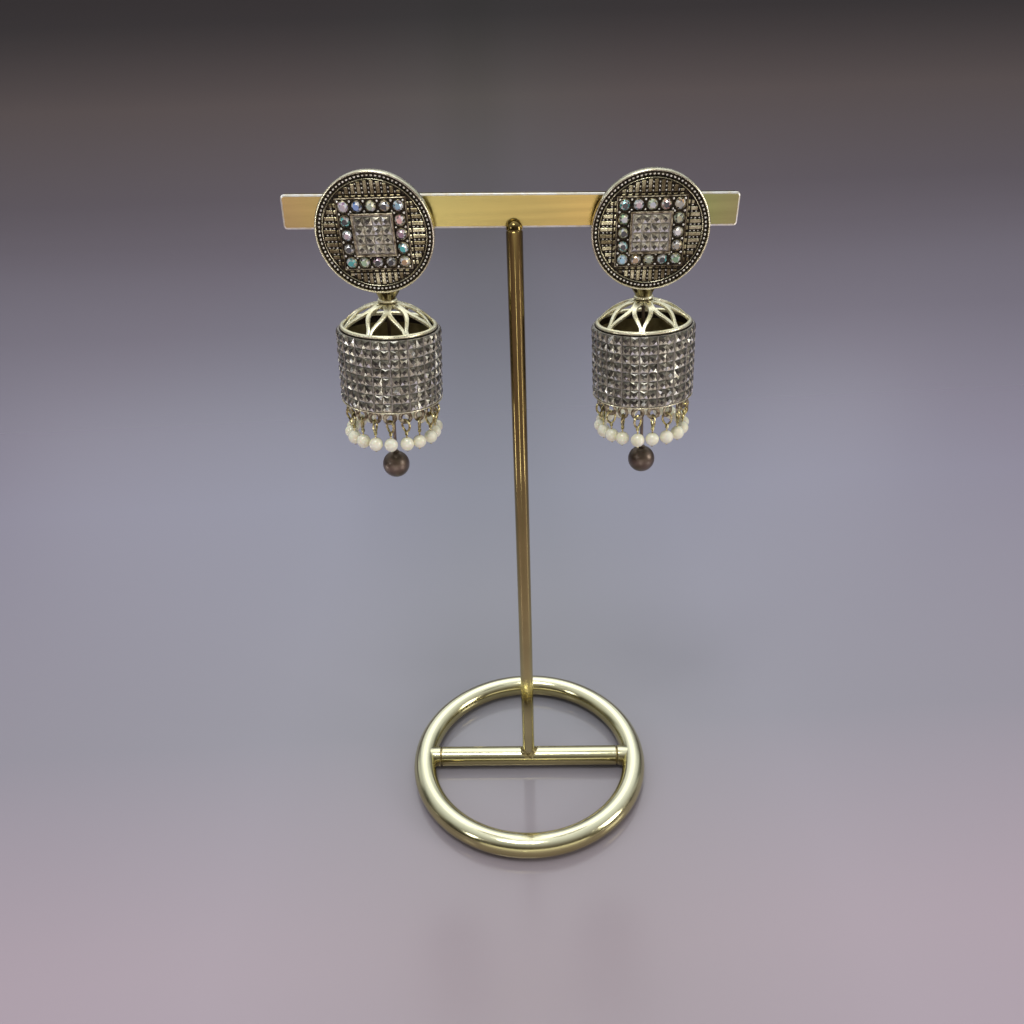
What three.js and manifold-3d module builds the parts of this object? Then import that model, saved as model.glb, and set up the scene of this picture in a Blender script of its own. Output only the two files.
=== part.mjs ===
// A pair of bell-shaped drop earrings hung on a T-shaped metal display stand.
// Millimetres, +Z up, +X to the viewer's right, -Y towards the viewer.
// The origin is on the floor at the middle of the stand's base ring.
import * as THREE from "three";
import { ConvexGeometry } from "three/addons/geometries/ConvexGeometry.js";
import { mergeVertices } from "three/addons/utils/BufferGeometryUtils.js";
import Module from "manifold-3d";

const wasm = await Module();
wasm.setup();

const degree = Math.PI / 180;

// Clearances
const sunk = 0.05; // how far raised work is let into what carries it
const seatGap = 0.3; // between pieces that touch or are joined on the real thing
const linkGap = 0.1; // between a wire link and the wire that it hangs on

// Display stand
const baseRingRadius = 31.8; // centreline of the floor ring
const baseTubeRadius = 3.3;
const crossTubeRadius = 2.9;
const baseTurn = -4 * degree; // the base isn't screwed on quite square to the bar
const postRadius = 1.8;
const barLength = 96;
const barHeight = 6.8;
const barThickness = 3;
const barCornerRadius = 0.8;
const barBottomHeight = 156.9; // at the post
const barTilt = 1.7 * degree; // the bar sits a little low at its right end
const weldDepth = 0.3; // how far the post is sunk into the bar
const postBarOverlap = 1.8; // how far the post's top reaches up the bar's front

// Where the earrings hang along the bar
const leftHangFromEnd = 19.6;
const rightHangFromEnd = 18.9;
const studTurn = 5 * degree; // both studs face a little to the viewer's left
const leftRestTurn = 3.2 * degree; // each drop rests a little away from the post
const rightRestTurn = 2.2 * degree;
const leftHang = -barLength / 2 + leftHangFromEnd;
const rightHang = barLength / 2 - rightHangFromEnd;
const earrings = [
  { side: "left", hangX: leftHang, turn: leftRestTurn, petalTurn: -14 * degree, fringeTurn: 6 * degree },
  { side: "right", hangX: rightHang, turn: -rightRestTurn, petalTurn: -8 * degree, fringeTurn: -12 * degree },
];

// Stud: a round cast plate, facing the viewer, with a post behind
const discRadius = 12.4;
const discRimHeight = 2.2;
const discFloorHeight = 1.4;
const discLean = 8 * degree; // its top leans towards the viewer
const discRimWidth = 0.5;
const innerRingRadius = 10.8;
const innerRingHeight = 1.9;
const reliefRingHalfWidth = 0.28;
const frameWall = 0.3;
const borderHalfSide = 7.25; // outside of the square frame around the round stones
const borderFrameHeight = 2;
const panelHalfSide = 4.35; // outside of the square frame around the centre panel
const panelFrameHeight = 2.7;
const ribPitch = 1.31;
const ribWidth = 0.65;
const ribHeight = 1.8;
const ribsEachWay = 4; // on each side of the middle
const earPostRadius = 0.45;
const earPostLength = 11;
const earPostAboveCentre = 7.6; // where the post stands on the plate

// Stones on the stud
const settingThickness = 0.3;
const roundStoneRadius = 1.06;
const roundStoneCrown = 0.85;
const roundStoneTable = 0.62;
const roundStonePitch = 2.82;
const roundStonesPerSide = 5;
const squareStoneGap = 0.15;
const squareStoneCrown = 0.7;
const squareStoneTable = 0.45;
const squareStonesPerSide = 4;

// Ear nut
const nutRadius = 2.4;
const nutLength = 3.6;

// Hanging loop and the staple behind the stud that it hangs on
const stapleWire = 0.6; // square
const stapleRise = 2.2;
const stapleBackReach = 1; // beyond the loop's centre
const pivotAboveDiscBottom = 0.8;
const loopWire = 0.3;
const loopRadius = 0.9; // centreline
const swingClearance = 0.4; // between the funnel and the plate's back

// Dome. Heights are below the hanging pivot.
const funnelTopDrop = 1.2;
const funnelTopRadius = 2.9;
const funnelWall = 0.3;
const funnelFloorDrop = 3;
const collarDrop = 3.8;
const collarRadius = 2.25;
const collarNeckRadius = 1.9;
const hubDrop = 4.7;
const hubRadius = 2.6;
const hubThickness = 0.9;
const rimDrop = 9.4;
const rimRadius = 10.5; // centreline
const rimWire = 0.5;
const rimSides = 24;
const petalCount = 8;
const petalHoleStart = 3.2;
const petalHoleEnd = 9.6;
const petalHoleHalfWidth = 1.3;
const petalStripWidth = 1;
const petalThickness = 0.7;
const petalPartsAt = 6; // from the axis, where two neighbours part

// Crystal band: a sleeve with its stones
const bandRadius = 12;
const sleeveTopInside = 10.5;
const sleeveBottomInside = 9.2;
const bandHeight = 16.2;
const bandSides = 24;

// Fringe: pearls on rings that hang in lugs under the band
const pearlCount = 18;
const fringeRadius = 10.2;
const pearlRadius = 1.62;
const pearlDrop = 34.8; // centre of the pearls below the pivot
const ringWire = 0.2;
const ringRadius = 1.3; // centreline
const ringSeat = 0.15; // from the bottom of the lug's hole to the ring hanging in it
const pinRadius = 0.15;
const lugHalfWidth = 0.8;
const lugWall = 0.3;
const lugTaper = 0.15;
const lugHoleDepth = 0.75;
const lugThickness = 0.5;

// Centre drop: a ball on a long pin inside the bell
const ballRadius = 3.3;
const ballDrop = 44.3;
const ballPinRadius = 0.4;
const ballPinSocketDepth = 0.6;

// Facet counts
const discSides = 30;
const wireSides = 5;
const linkSides = 10;
const pearlRings = 4;
const mergeWithin = 0.012; // flat neighbours become one facet

const materials = {
  standGold: new THREE.MeshStandardMaterial({ color: 0xd8c27a, metalness: 1, roughness: 0.22 }),
  antiqueGold: new THREE.MeshStandardMaterial({ color: 0x8c8058, metalness: 1, roughness: 0.4 }),
  paleGold: new THREE.MeshStandardMaterial({ color: 0xe6dcae, metalness: 1, roughness: 0.3 }),
  crystal: new THREE.MeshStandardMaterial({ color: 0xb9aeb0, metalness: 0.1, roughness: 0.15 }),
  rainbow: new THREE.MeshStandardMaterial({ color: 0xcfd8d6, metalness: 0.1, roughness: 0.1 }),
  pearl: new THREE.MeshStandardMaterial({ color: 0xeeecdc, metalness: 0, roughness: 0.3 }),
  darkSteel: new THREE.MeshStandardMaterial({ color: 0x4a4038, metalness: 1, roughness: 0.2 }),
};

// A closed three.js geometry as a solid that can be joined and cut.
function solid(geometry) {
  const bare = new THREE.BufferGeometry();
  bare.setAttribute("position", geometry.getAttribute("position"));
  if (geometry.index) bare.setIndex(geometry.index);
  const merged = mergeVertices(bare, 1e-4);
  return new wasm.Manifold(
    new wasm.Mesh({
      numProp: 3,
      vertProperties: new Float32Array(merged.getAttribute("position").array),
      triVerts: new Uint32Array(merged.index.array),
    }),
  );
}

function geometryOf(body) {
  const mesh = body.getMesh();
  const geometry = new THREE.BufferGeometry();
  geometry.setAttribute("position", new THREE.BufferAttribute(mesh.vertProperties, 3));
  geometry.setIndex(new THREE.BufferAttribute(mesh.triVerts, 1));
  return geometry;
}

function fuse(geometries) {
  return geometries
    .map(solid)
    .reduce((whole, next) => whole.add(next))
    .asOriginal()
    .simplify(mergeWithin);
}

// A solid of revolution about Z. The profile is [radius, height] pairs, outside of the metal on the right.
function turned(profile, sides) {
  const points = profile.map(([radius, height]) => new THREE.Vector2(radius, height));
  return new THREE.LatheGeometry(points, sides).rotateX(Math.PI / 2);
}

function closedProfile(profile) {
  return [...profile, profile[0]];
}

// A rod along Z from one height to another.
function rod(radius, from, to, sides = 8) {
  return new THREE.CylinderGeometry(radius, radius, to - from, sides)
    .rotateX(Math.PI / 2)
    .translate(0, 0, (from + to) / 2);
}

function ring(radius, wire, sides = linkSides, around = wireSides) {
  return new THREE.TorusGeometry(radius, wire, around, sides);
}

// A round bead with its poles towards and away from the axis, so that a pin meets it on its flank.
function bead(radius, sides, rings) {
  return new THREE.SphereGeometry(radius, sides, rings).rotateY(Math.PI / sides).rotateZ(Math.PI / 2);
}

function block(width, depth, height) {
  return new THREE.BoxGeometry(width, depth, height);
}

function polygon(points, holePoints) {
  const shape = new THREE.Shape(points.map(([x, y]) => new THREE.Vector2(x, y)));
  if (holePoints) shape.holes.push(new THREE.Path(holePoints.map(([x, y]) => new THREE.Vector2(x, y))));
  return shape;
}

function slab(shape, depth) {
  return new THREE.ExtrudeGeometry(shape, { depth, bevelEnabled: false });
}

function square(half) {
  return [
    [-half, -half],
    [half, -half],
    [half, half],
    [-half, half],
  ];
}

function octagon(radius) {
  const corners = [];
  for (let k = 0; k < 8; k++) {
    const angle = ((k + 0.5) * Math.PI) / 4;
    corners.push([radius * Math.cos(angle), radius * Math.sin(angle)]);
  }
  return corners;
}

function node(name, geometry, material) {
  const mesh = new THREE.Mesh(geometry, material);
  mesh.name = name;
  return mesh;
}

// Stand

// The floor ring has an eight-sided section, one flat of which lies on the floor.
function standBase() {
  const section = octagon(baseTubeRadius / Math.cos(Math.PI / 8)).map(([x, y]) => [baseRingRadius + x, y]);
  const floorRing = turned(closedProfile(section), 30);
  const tube = rod(crossTubeRadius, -baseRingRadius, baseRingRadius, 10)
    .rotateY(Math.PI / 2)
    .rotateZ(baseTurn);
  return geometryOf(fuse([floorRing, tube])).translate(0, 0, baseTubeRadius);
}

const barFrontY = postRadius - weldDepth;

function topBar() {
  const inset = barLength / 2 - barCornerRadius;
  const rise = barHeight - barCornerRadius;
  const quarter = Math.PI / 2;
  const corners = [
    [inset, barCornerRadius, -quarter],
    [inset, rise, 0],
    [-inset, rise, quarter],
    [-inset, barCornerRadius, 2 * quarter],
  ];
  const outline = new THREE.Shape();
  outline.moveTo(-inset, 0);
  for (const [x, y, start] of corners) outline.absarc(x, y, barCornerRadius, start, start + quarter, false);
  const options = { depth: barThickness, bevelEnabled: false, curveSegments: 3 };
  return new THREE.ExtrudeGeometry(outline, options)
    .rotateX(quarter)
    .translate(0, barThickness + barFrontY, -barHeight / 2)
    .rotateY(barTilt)
    .translate(0, 0, barBottomHeight + barHeight / 2);
}

const postTopAngles = [1, 2, 3].map((step) => (step * Math.PI) / 6);

// The post and the bar as one welded piece, its foot just clear of the cross tube.
function standUpright() {
  const domeStart = barBottomHeight + postBarOverlap - postRadius;
  const post = turned(
    [
      [0, baseTubeRadius],
      [postRadius, baseTubeRadius],
      [postRadius, domeStart],
      ...postTopAngles.map((angle) => [
        postRadius * Math.cos(angle),
        domeStart + postRadius * Math.sin(angle),
      ]),
    ],
    10,
  );
  const tube = rod(crossTubeRadius + seatGap, -2 * postRadius, 2 * postRadius, 10)
    .rotateY(Math.PI / 2)
    .rotateZ(baseTurn)
    .translate(0, 0, baseTubeRadius);
  const pieces = fuse([post, topBar()]).subtract(solid(tube)).decompose();
  pieces.sort((a, b) => b.volume() - a.volume());
  return geometryOf(pieces[0]);
}

function barTopAt(x) {
  return barBottomHeight - x * Math.tan(barTilt) + barHeight / Math.cos(barTilt);
}

function barBottomAt(x) {
  return barBottomHeight - x * Math.tan(barTilt);
}

const turnedBack = discRadius * Math.sin(studTurn);

// Where the plate's back centre is, so that the post lies over the bar
// and the side that is turned back stays clear of the bar's lower edge.
function discCentreAt(x) {
  const postAxis = barTopAt(x) + seatGap + earPostRadius / Math.cos(discLean);
  const edgeY = barFrontY - seatGap / Math.cos(discLean) - turnedBack;
  let centre = { y: edgeY, z: barTopAt(x) - earPostAboveCentre };
  for (let round = 0; round < 8; round++) {
    const below = (centre.z - barBottomAt(x)) / Math.cos(discLean);
    const y = edgeY - below * Math.sin(discLean);
    const run = (barFrontY - y + earPostAboveCentre * Math.sin(discLean)) / Math.cos(discLean);
    centre = { y, z: postAxis - earPostAboveCentre * Math.cos(discLean) - run * Math.sin(discLean) };
  }
  return centre;
}

// The hanging pivot from the plate's back centre.
const pivotFromCentre = {
  y: discRadius * Math.sin(discLean) + swingClearance + funnelTopRadius,
  z: pivotAboveDiscBottom - discRadius * Math.cos(discLean),
};

// Stud, drawn facing +Z with its back at Z = 0, then stood up and leaned

function standUp(geometry) {
  return geometry.rotateX(Math.PI / 2 + discLean).translate(0, -pivotFromCentre.y, -pivotFromCentre.z);
}

function plate() {
  return turned(
    [
      [0, 0],
      [discRadius, 0],
      [discRadius, discRimHeight],
      [discRadius - discRimWidth, discFloorHeight],
      [innerRingRadius + reliefRingHalfWidth, discFloorHeight],
      [innerRingRadius, innerRingHeight],
      [innerRingRadius - reliefRingHalfWidth, discFloorHeight],
      [0, discFloorHeight],
    ],
    discSides,
  );
}

function squareFrame(halfSide, height) {
  const walls = polygon(square(halfSide), square(halfSide - frameWall));
  return slab(walls, height - discFloorHeight + sunk).translate(0, 0, discFloorHeight - sunk);
}

function ribs() {
  const start = borderHalfSide + 0.1;
  const height = ribHeight - discFloorHeight + sunk;
  const made = [];
  for (let turn = 0; turn < 4; turn++) {
    for (let k = -ribsEachWay; k < ribsEachWay; k++) {
      const side = (k + 0.5) * ribPitch;
      const reach = Math.abs(side) + ribWidth / 2;
      const end = Math.sqrt((innerRingRadius - reliefRingHalfWidth - 0.1) ** 2 - reach ** 2);
      made.push(
        block(ribWidth, end - start, height)
          .translate(side, (start + end) / 2, ribHeight - height / 2)
          .rotateZ((turn * Math.PI) / 2),
      );
    }
  }
  return made;
}

function earPost() {
  return rod(earPostRadius, -earPostLength, discFloorHeight / 2).translate(0, earPostAboveCentre, 0);
}

// The U of square wire behind the plate that the loop hangs on, upright, with the pivot at the origin.
function staple() {
  const root = -swingClearance - funnelTopRadius - discRimHeight / 2;
  const half = stapleWire / 2;
  const back = stapleBackReach + half;
  const bent = polygon([
    [root, -half],
    [back, -half],
    [back, stapleRise + half],
    [root, stapleRise + half],
    [root, stapleRise - half],
    [back - stapleWire, stapleRise - half],
    [back - stapleWire, half],
    [root, half],
  ]);
  return slab(bent, stapleWire)
    .translate(0, 0, -half)
    .rotateX(Math.PI / 2)
    .rotateZ(Math.PI / 2);
}

function stud() {
  const drawn = [
    plate(),
    squareFrame(borderHalfSide, borderFrameHeight),
    squareFrame(panelHalfSide, panelFrameHeight),
    ...ribs(),
    earPost(),
  ].map(standUp);
  return geometryOf(fuse([...drawn, staple()]));
}

// A stone's crown standing on its setting: eight facets around a table.
function crown(base, table, height) {
  const lower = base.map(([x, y]) => new THREE.Vector3(x, y, 0));
  const upper = table.map(([x, y]) => new THREE.Vector3(x, y, height));
  return new ConvexGeometry([...lower, ...upper]);
}

const settingFoot = discFloorHeight + seatGap;

function borderStones() {
  const outer = borderHalfSide - frameWall - seatGap;
  const inner = panelHalfSide + seatGap;
  const middle = (roundStonesPerSide - 1) / 2;
  const made = [slab(polygon(square(outer), square(inner)), settingThickness).translate(0, 0, settingFoot)];
  for (let i = -middle; i <= middle; i++) {
    for (let j = -middle; j <= middle; j++) {
      if (Math.max(Math.abs(i), Math.abs(j)) < middle) continue;
      const stone = crown(octagon(roundStoneRadius), octagon(roundStoneTable), roundStoneCrown);
      made.push(stone.translate(i * roundStonePitch, j * roundStonePitch, settingFoot + settingThickness));
    }
  }
  return standUp(geometryOf(fuse(made)));
}

function panelStones() {
  const half = panelHalfSide - frameWall - seatGap;
  const thickness = 2 * settingThickness;
  const pitch = (2 * half) / squareStonesPerSide;
  const middle = (squareStonesPerSide - 1) / 2;
  const made = [slab(polygon(square(half)), thickness).translate(0, 0, settingFoot)];
  for (let i = -middle; i <= middle; i++) {
    for (let j = -middle; j <= middle; j++) {
      const base = square((pitch - squareStoneGap) / 2);
      const stone = crown(base, octagon(squareStoneTable), squareStoneCrown);
      made.push(stone.translate(i * pitch, j * pitch, settingFoot + thickness));
    }
  }
  return standUp(geometryOf(fuse(made)));
}

function earNut() {
  const start = barThickness + discRimHeight + turnedBack;
  const outer = rod(nutRadius, -start - nutLength, -start, 10);
  const bore = rod(earPostRadius + linkGap + 0.05, -start - 2 * nutLength, nutLength, 8);
  return standUp(geometryOf(solid(outer).subtract(solid(bore))).translate(0, earPostAboveCentre, 0));
}

// Dome

const domeRise = rimDrop - hubDrop;
const domeCentreDepth = (rimRadius ** 2 - hubRadius ** 2 - domeRise ** 2) / (2 * domeRise);
const domeSphere = Math.hypot(rimRadius, domeCentreDepth);

// Half the width of a petal's hole at a distance from the axis.
function holeHalfWidth(radius) {
  const share = Math.min(Math.max((radius - petalHoleStart) / (petalHoleEnd - petalHoleStart), 0), 1);
  return petalHoleHalfWidth * Math.sin(Math.PI * share ** 0.85);
}

// The hole inside a petal, along +X from the axis.
function petalHole() {
  const reach = petalHoleEnd - petalHoleStart;
  const side = [0.18, 0.45, 0.75].map((share) => {
    const radius = petalHoleStart + reach * share;
    return [radius, holeHalfWidth(radius)];
  });
  const otherSide = side.map(([x, y]) => [x, -y]).reverse();
  return [[petalHoleStart, 0], ...side, [petalHoleEnd, 0], ...otherSide];
}

// The edge of one petal from where it parts from the next one to its tip, and back, along +X.
function petalEdge() {
  const side = [0, 0.3, 0.65, 1].map((share) => {
    const radius = petalPartsAt + (rimRadius - petalPartsAt) * share;
    const strip = petalStripWidth * (1 - 0.4 * share);
    return [radius, holeHalfWidth(radius) + strip];
  });
  const half = Math.PI / petalCount;
  side[0] = [petalPartsAt * Math.cos(half), petalPartsAt * Math.sin(half)];
  return [...side.map(([x, y]) => [x, -y]), ...side.slice(1).reverse()];
}

function turnedPoints(points, turn) {
  return points.map(([x, y]) => new THREE.Vector2(x, y).rotateAround(new THREE.Vector2(), turn));
}

// The pierced petals, drawn flat from above and then bent onto the dome.
function petalNet(petalTurn) {
  const edge = [];
  const holes = [];
  for (let k = 0; k < petalCount; k++) {
    const turn = (k * 2 * Math.PI) / petalCount + petalTurn - Math.PI / 2;
    edge.push(...turnedPoints(petalEdge(), turn));
    holes.push(new THREE.Path(turnedPoints(petalHole(), turn)));
  }
  const outline = new THREE.Shape(edge);
  outline.holes = holes;
  const net = slab(outline, petalThickness);
  const positions = net.getAttribute("position");
  for (let i = 0; i < positions.count; i++) {
    const radius = Math.hypot(positions.getX(i), positions.getY(i));
    const rise = Math.sqrt(domeSphere ** 2 - radius ** 2) - domeCentreDepth;
    positions.setZ(i, positions.getZ(i) - petalThickness / 2 - rimDrop + rise);
  }
  return net;
}

function hub() {
  const neck = collarRadius - collarNeckRadius;
  return turned(
    [
      [0, -hubDrop - hubThickness],
      [hubRadius - 0.6, -hubDrop - hubThickness],
      [hubRadius, -hubDrop - hubThickness / 2],
      [collarNeckRadius, -collarDrop - neck],
      [collarRadius, -collarDrop],
      [collarNeckRadius, -collarDrop + neck],
      [funnelTopRadius, -funnelTopDrop],
      [funnelTopRadius - funnelWall, -funnelTopDrop],
      [collarNeckRadius - funnelWall, -funnelFloorDrop],
      [0, -funnelFloorDrop],
    ],
    12,
  );
}

function dome(petalTurn) {
  const made = [
    hub(),
    petalNet(petalTurn),
    ring(rimRadius, rimWire, rimSides, 4).translate(0, 0, -rimDrop),
    ring(loopRadius, loopWire).rotateX(Math.PI / 2),
    rod(loopWire * 1.3, -funnelFloorDrop - 0.2, -loopRadius, wireSides),
  ];
  const hubFoot = -hubDrop - hubThickness;
  const socket = rod(ballPinRadius + seatGap, hubFoot - hubThickness, hubFoot + ballPinSocketDepth);
  return geometryOf(fuse(made).subtract(solid(socket)).asOriginal().simplify(mergeWithin));
}

// Band with its stones and the lugs under it

const bandTop = -rimDrop - rimWire - seatGap;
const bandBottom = bandTop - bandHeight;

// One lug: a U of wire in a radial plane, its hole facing along the band's edge.
function lug() {
  const inside = lugHalfWidth - lugWall;
  const lowerInside = inside - lugTaper;
  const shape = polygon([
    [-lugHalfWidth, sunk],
    [-lugHalfWidth + lugTaper, -lugHoleDepth - lugWall],
    [lugHalfWidth - lugTaper, -lugHoleDepth - lugWall],
    [lugHalfWidth, sunk],
    [inside, sunk],
    [lowerInside, -lugHoleDepth],
    [-lowerInside, -lugHoleDepth],
    [-inside, sunk],
  ]);
  return slab(shape, lugThickness)
    .translate(0, 0, -lugThickness / 2)
    .rotateX(Math.PI / 2)
    .translate(fringeRadius, 0, bandBottom);
}

function band(fringeTurn) {
  const wall = turned(
    closedProfile([
      [sleeveBottomInside, bandBottom],
      [bandRadius, bandBottom],
      [bandRadius, bandTop],
      [sleeveTopInside, bandTop],
    ]),
    bandSides,
  );
  const lugs = [];
  for (let k = 0; k < pearlCount; k++) lugs.push(lug().rotateZ(fringeAngle(k) + fringeTurn));
  return geometryOf(fuse([wall, ...lugs]));
}

function fringeAngle(k) {
  return (k * 2 * Math.PI) / pearlCount - Math.PI / 2;
}

// One pearl with its pin and ring. The ring faces outwards and passes through a lug.
function pearl(k, fringeTurn) {
  const ringCentre = bandBottom - lugHoleDepth + ringWire + ringSeat - ringRadius;
  const pieces = [
    ring(ringRadius, ringWire).rotateX(Math.PI / 2).rotateZ(Math.PI / 2).translate(0, 0, ringCentre),
    rod(pinRadius, -pearlDrop, ringCentre - ringRadius, 4),
    bead(pearlRadius, linkSides, pearlRings).translate(0, 0, -pearlDrop),
  ];
  return geometryOf(fuse(pieces)).translate(fringeRadius, 0, 0).rotateZ(fringeAngle(k) + fringeTurn);
}

function centreDrop() {
  const top = -hubDrop - hubThickness + ballPinSocketDepth - seatGap;
  return geometryOf(
    fuse([
      rod(ballPinRadius, -ballDrop, top, 6),
      bead(ballRadius, 12, 6).translate(0, 0, -ballDrop),
    ]),
  );
}

function earring({ side, hangX, turn, petalTurn, fringeTurn }) {
  const centre = discCentreAt(hangX);
  const group = new THREE.Group();
  const pivotY = centre.y + pivotFromCentre.y * Math.cos(studTurn);
  group.position.set(hangX, pivotY, centre.z + pivotFromCentre.z);
  group.rotation.z = -studTurn;
  group.add(node(`${side}_stud`, stud(), materials.antiqueGold));
  group.add(node(`${side}_border_stones`, borderStones(), materials.rainbow));
  group.add(node(`${side}_panel_stones`, panelStones(), materials.crystal));
  group.add(node(`${side}_ear_nut`, earNut(), materials.paleGold));
  const drop = new THREE.Group();
  drop.rotation.y = turn;
  drop.add(node(`${side}_dome`, dome(petalTurn), materials.paleGold));
  drop.add(node(`${side}_crystal_band`, band(fringeTurn), materials.crystal));
  drop.add(node(`${side}_centre_drop`, centreDrop(), materials.darkSteel));
  for (let k = 0; k < pearlCount; k++) {
    const number = String(k + 1).padStart(2, "0");
    drop.add(node(`${side}_pearl_${number}`, pearl(k, fringeTurn), materials.pearl));
  }
  group.add(drop);
  return group;
}

const model = new THREE.Group();
model.add(node("stand_base", standBase(), materials.standGold));
model.add(node("stand_upright", standUpright(), materials.standGold));
for (const pair of earrings) model.add(earring(pair));

export default model;
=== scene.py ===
# Looks for a pair of bell-shaped drop earrings on a T-shaped display stand.
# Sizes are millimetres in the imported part's frame. A mesh becomes metres when its object is made.
# Sizes inside materials, lights and the camera are metres.
import math
import random

import bmesh
import bpy
from mathutils import Matrix, Vector


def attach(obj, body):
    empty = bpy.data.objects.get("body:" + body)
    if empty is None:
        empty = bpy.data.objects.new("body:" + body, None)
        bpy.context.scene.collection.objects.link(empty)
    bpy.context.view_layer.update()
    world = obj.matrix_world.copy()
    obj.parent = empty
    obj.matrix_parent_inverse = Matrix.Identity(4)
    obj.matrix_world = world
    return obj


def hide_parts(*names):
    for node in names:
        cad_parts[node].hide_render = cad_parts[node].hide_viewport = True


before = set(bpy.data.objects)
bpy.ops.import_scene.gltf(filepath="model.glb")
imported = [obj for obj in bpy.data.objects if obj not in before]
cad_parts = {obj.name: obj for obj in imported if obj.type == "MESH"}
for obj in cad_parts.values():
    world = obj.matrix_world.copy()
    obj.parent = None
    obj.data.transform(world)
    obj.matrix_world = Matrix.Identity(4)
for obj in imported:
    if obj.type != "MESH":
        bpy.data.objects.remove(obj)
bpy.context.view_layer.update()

MM = 0.001
DEGREE = math.pi / 180
chance = random.Random(11)

# Display stand
BASE_RING_RADIUS = 31.8
BASE_TUBE_RADIUS = 3.3
CROSS_TUBE_RADIUS = 2.9
BASE_TURN = -4 * DEGREE
POST_RADIUS = 1.8
POST_TOP = 158.7
BAR_LENGTH = 96
BAR_HEIGHT = 6.8
BAR_THICKNESS = 3
BAR_CORNER_RADIUS = 0.8
BAR_EDGE_ROUND = 0.4
BAR_FRONT_Y = 1.5
BAR_BOTTOM_HEIGHT = 156.9
BAR_TILT = 1.7 * DEGREE
WELD_GROOVE_X = 26.8
WELD_GROOVE_HALF = 0.3
# Distances from the groove along the tube, each with the rise of its surface
WELD_MARKS = [(-0.35, 0), (-0.1, -0.22), (0.1, -0.22), (0.35, 0.04), (1.6, 0.08), (3, 0)]
TUBE_END_TUCK = 0.3
# Distances out from the post's surface, each with the height over the cross tube
SADDLE_WELD = [(0.0, 1.1), (0.12, 0.6), (0.38, 0.28), (0.75, 0.05), (0.95, -0.2)]

# Stud
DISC_RADIUS = 12.4
DISC_RIM_HEIGHT = 2.2
DISC_RIM_WALL = 0.46
DISC_FLOOR_HEIGHT = 1.4
DISC_LEAN = 8 * DEGREE
DISC_FROM_PIVOT = Vector((0, -5.026, 11.479))
STUD_TURN = 5 * DEGREE
CHANNEL_INSIDE = 11.08
BEAD_RING_RADIUS = 11.48
BEAD_RADIUS = 0.28
BEAD_COUNT = 84
RING_LINE_RADIUS = 10.8
RING_LINE_HEIGHT = 1.9
RING_LINE_HALF = 0.14
BORDER_HALF = 7.25
BORDER_FRAME_HEIGHT = 2
PANEL_HALF = 4.35
PANEL_FRAME_HEIGHT = 2.7
FRAME_WALL = 0.22
FRAME_EDGE = 0.07
RIB_PITCH = 1.31
RIB_WIDTH = 0.7
RIB_HEIGHT = 1.85
RIBS_EACH_WAY = 5
GRANULE_RADIUS = 0.23
GRANULE_PITCH = 0.82
GRANULE_LIFT = 0.08
DASH_LENGTH = 0.75
SUNK = 0.05
EAR_POST_RADIUS = 0.45
EAR_POST_LENGTH = 11
EAR_POST_ABOVE = 7.6

# Stones on the stud
SETTING_FOOT = 1.7
SETTING_TOP = 2.0
SETTING_DEPTH = 0.3
ROUND_RADIUS = 1.06
ROUND_CROWN = 0.85
ROUND_TABLE = 0.6
ROUND_PITCH = 2.82
ROUND_PER_SIDE = 5
CUP_OUTSIDE = 0.16
CUP_INSIDE = -0.02
CUP_RISE = 0.22
BORDER_GRANULE_RADIUS = 0.27
SQUARE_PER_SIDE = 4
SQUARE_PITCH = 1.875
SQUARE_GAP = 0.1
SQUARE_FOOT = 2.3
SQUARE_CROWN = 0.7
PANEL_STONE_GREY = 0.5

# Ear nut and staple
NUT_RADIUS = 2.4
NUT_BORE = 0.62
NUT_START = 6.28
NUT_LENGTH = 3.6
NUT_RIDGES = 4
NUT_RIDGE_PITCH = 0.45
STAPLE_WIRE = 0.3
STAPLE_ROOT = -4.4
STAPLE_BACK = 1.0
STAPLE_RISE = 2.2
STAPLE_BEND = 0.45
STAPLE_SHOULDER = -1.5
LOOP_RADIUS = 0.9
LOOP_WIRE = 0.3

# Dome, heights below the hanging pivot
FUNNEL_TOP = 1.2
FUNNEL_FLOOR = 3
FUNNEL_FLUTES = 12
FUNNEL_SIDES = 96
COLLAR_DROP = 3.8
COLLAR_RADIUS = 2.25
COLLAR_HALF_HEIGHT = 0.38
NECK_RADIUS = 1.9
HUB_DROP = 4.7
HUB_RADIUS = 2.6
HUB_THICKNESS = 0.9
RIM_DROP = 9.4
RIM_RADIUS = 10.5
RIM_WIRE = 0.5
SKIRT_DEPTH = 1.4
PETAL_COUNT = 8
HOLE_START = 2.8
HOLE_END = 9.6
HOLE_HALF_WIDTH = 1.3
STRIP_START = 1.9
STRIP_WIDTH = 1.0
STRIP_THICKNESS = 0.6
STRIP_STEPS = 26
STRIP_FULL_RADIUS = 4

# Crystal band
BAND_RADIUS = 12
BAND_TOP = -10.2
BAND_BOTTOM = -26.4
BAND_COLUMNS = 36
BAND_ROWS = 8
BAND_EDGE = 0.16
BAND_STONE_GREY = 0.33
COLUMN_GAP = 0.14
ROW_GAP = 0.1
PAIR_SHIFT = 0.0315
SLEEVE_RADIUS = 11.45
SLEEVE_INSIDE = 11.2
STONES_TOP = -9.85
STONE_RISE = 0.5
CORD_RADIUS = 0.07
CORD_OUT = 0.22

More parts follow.
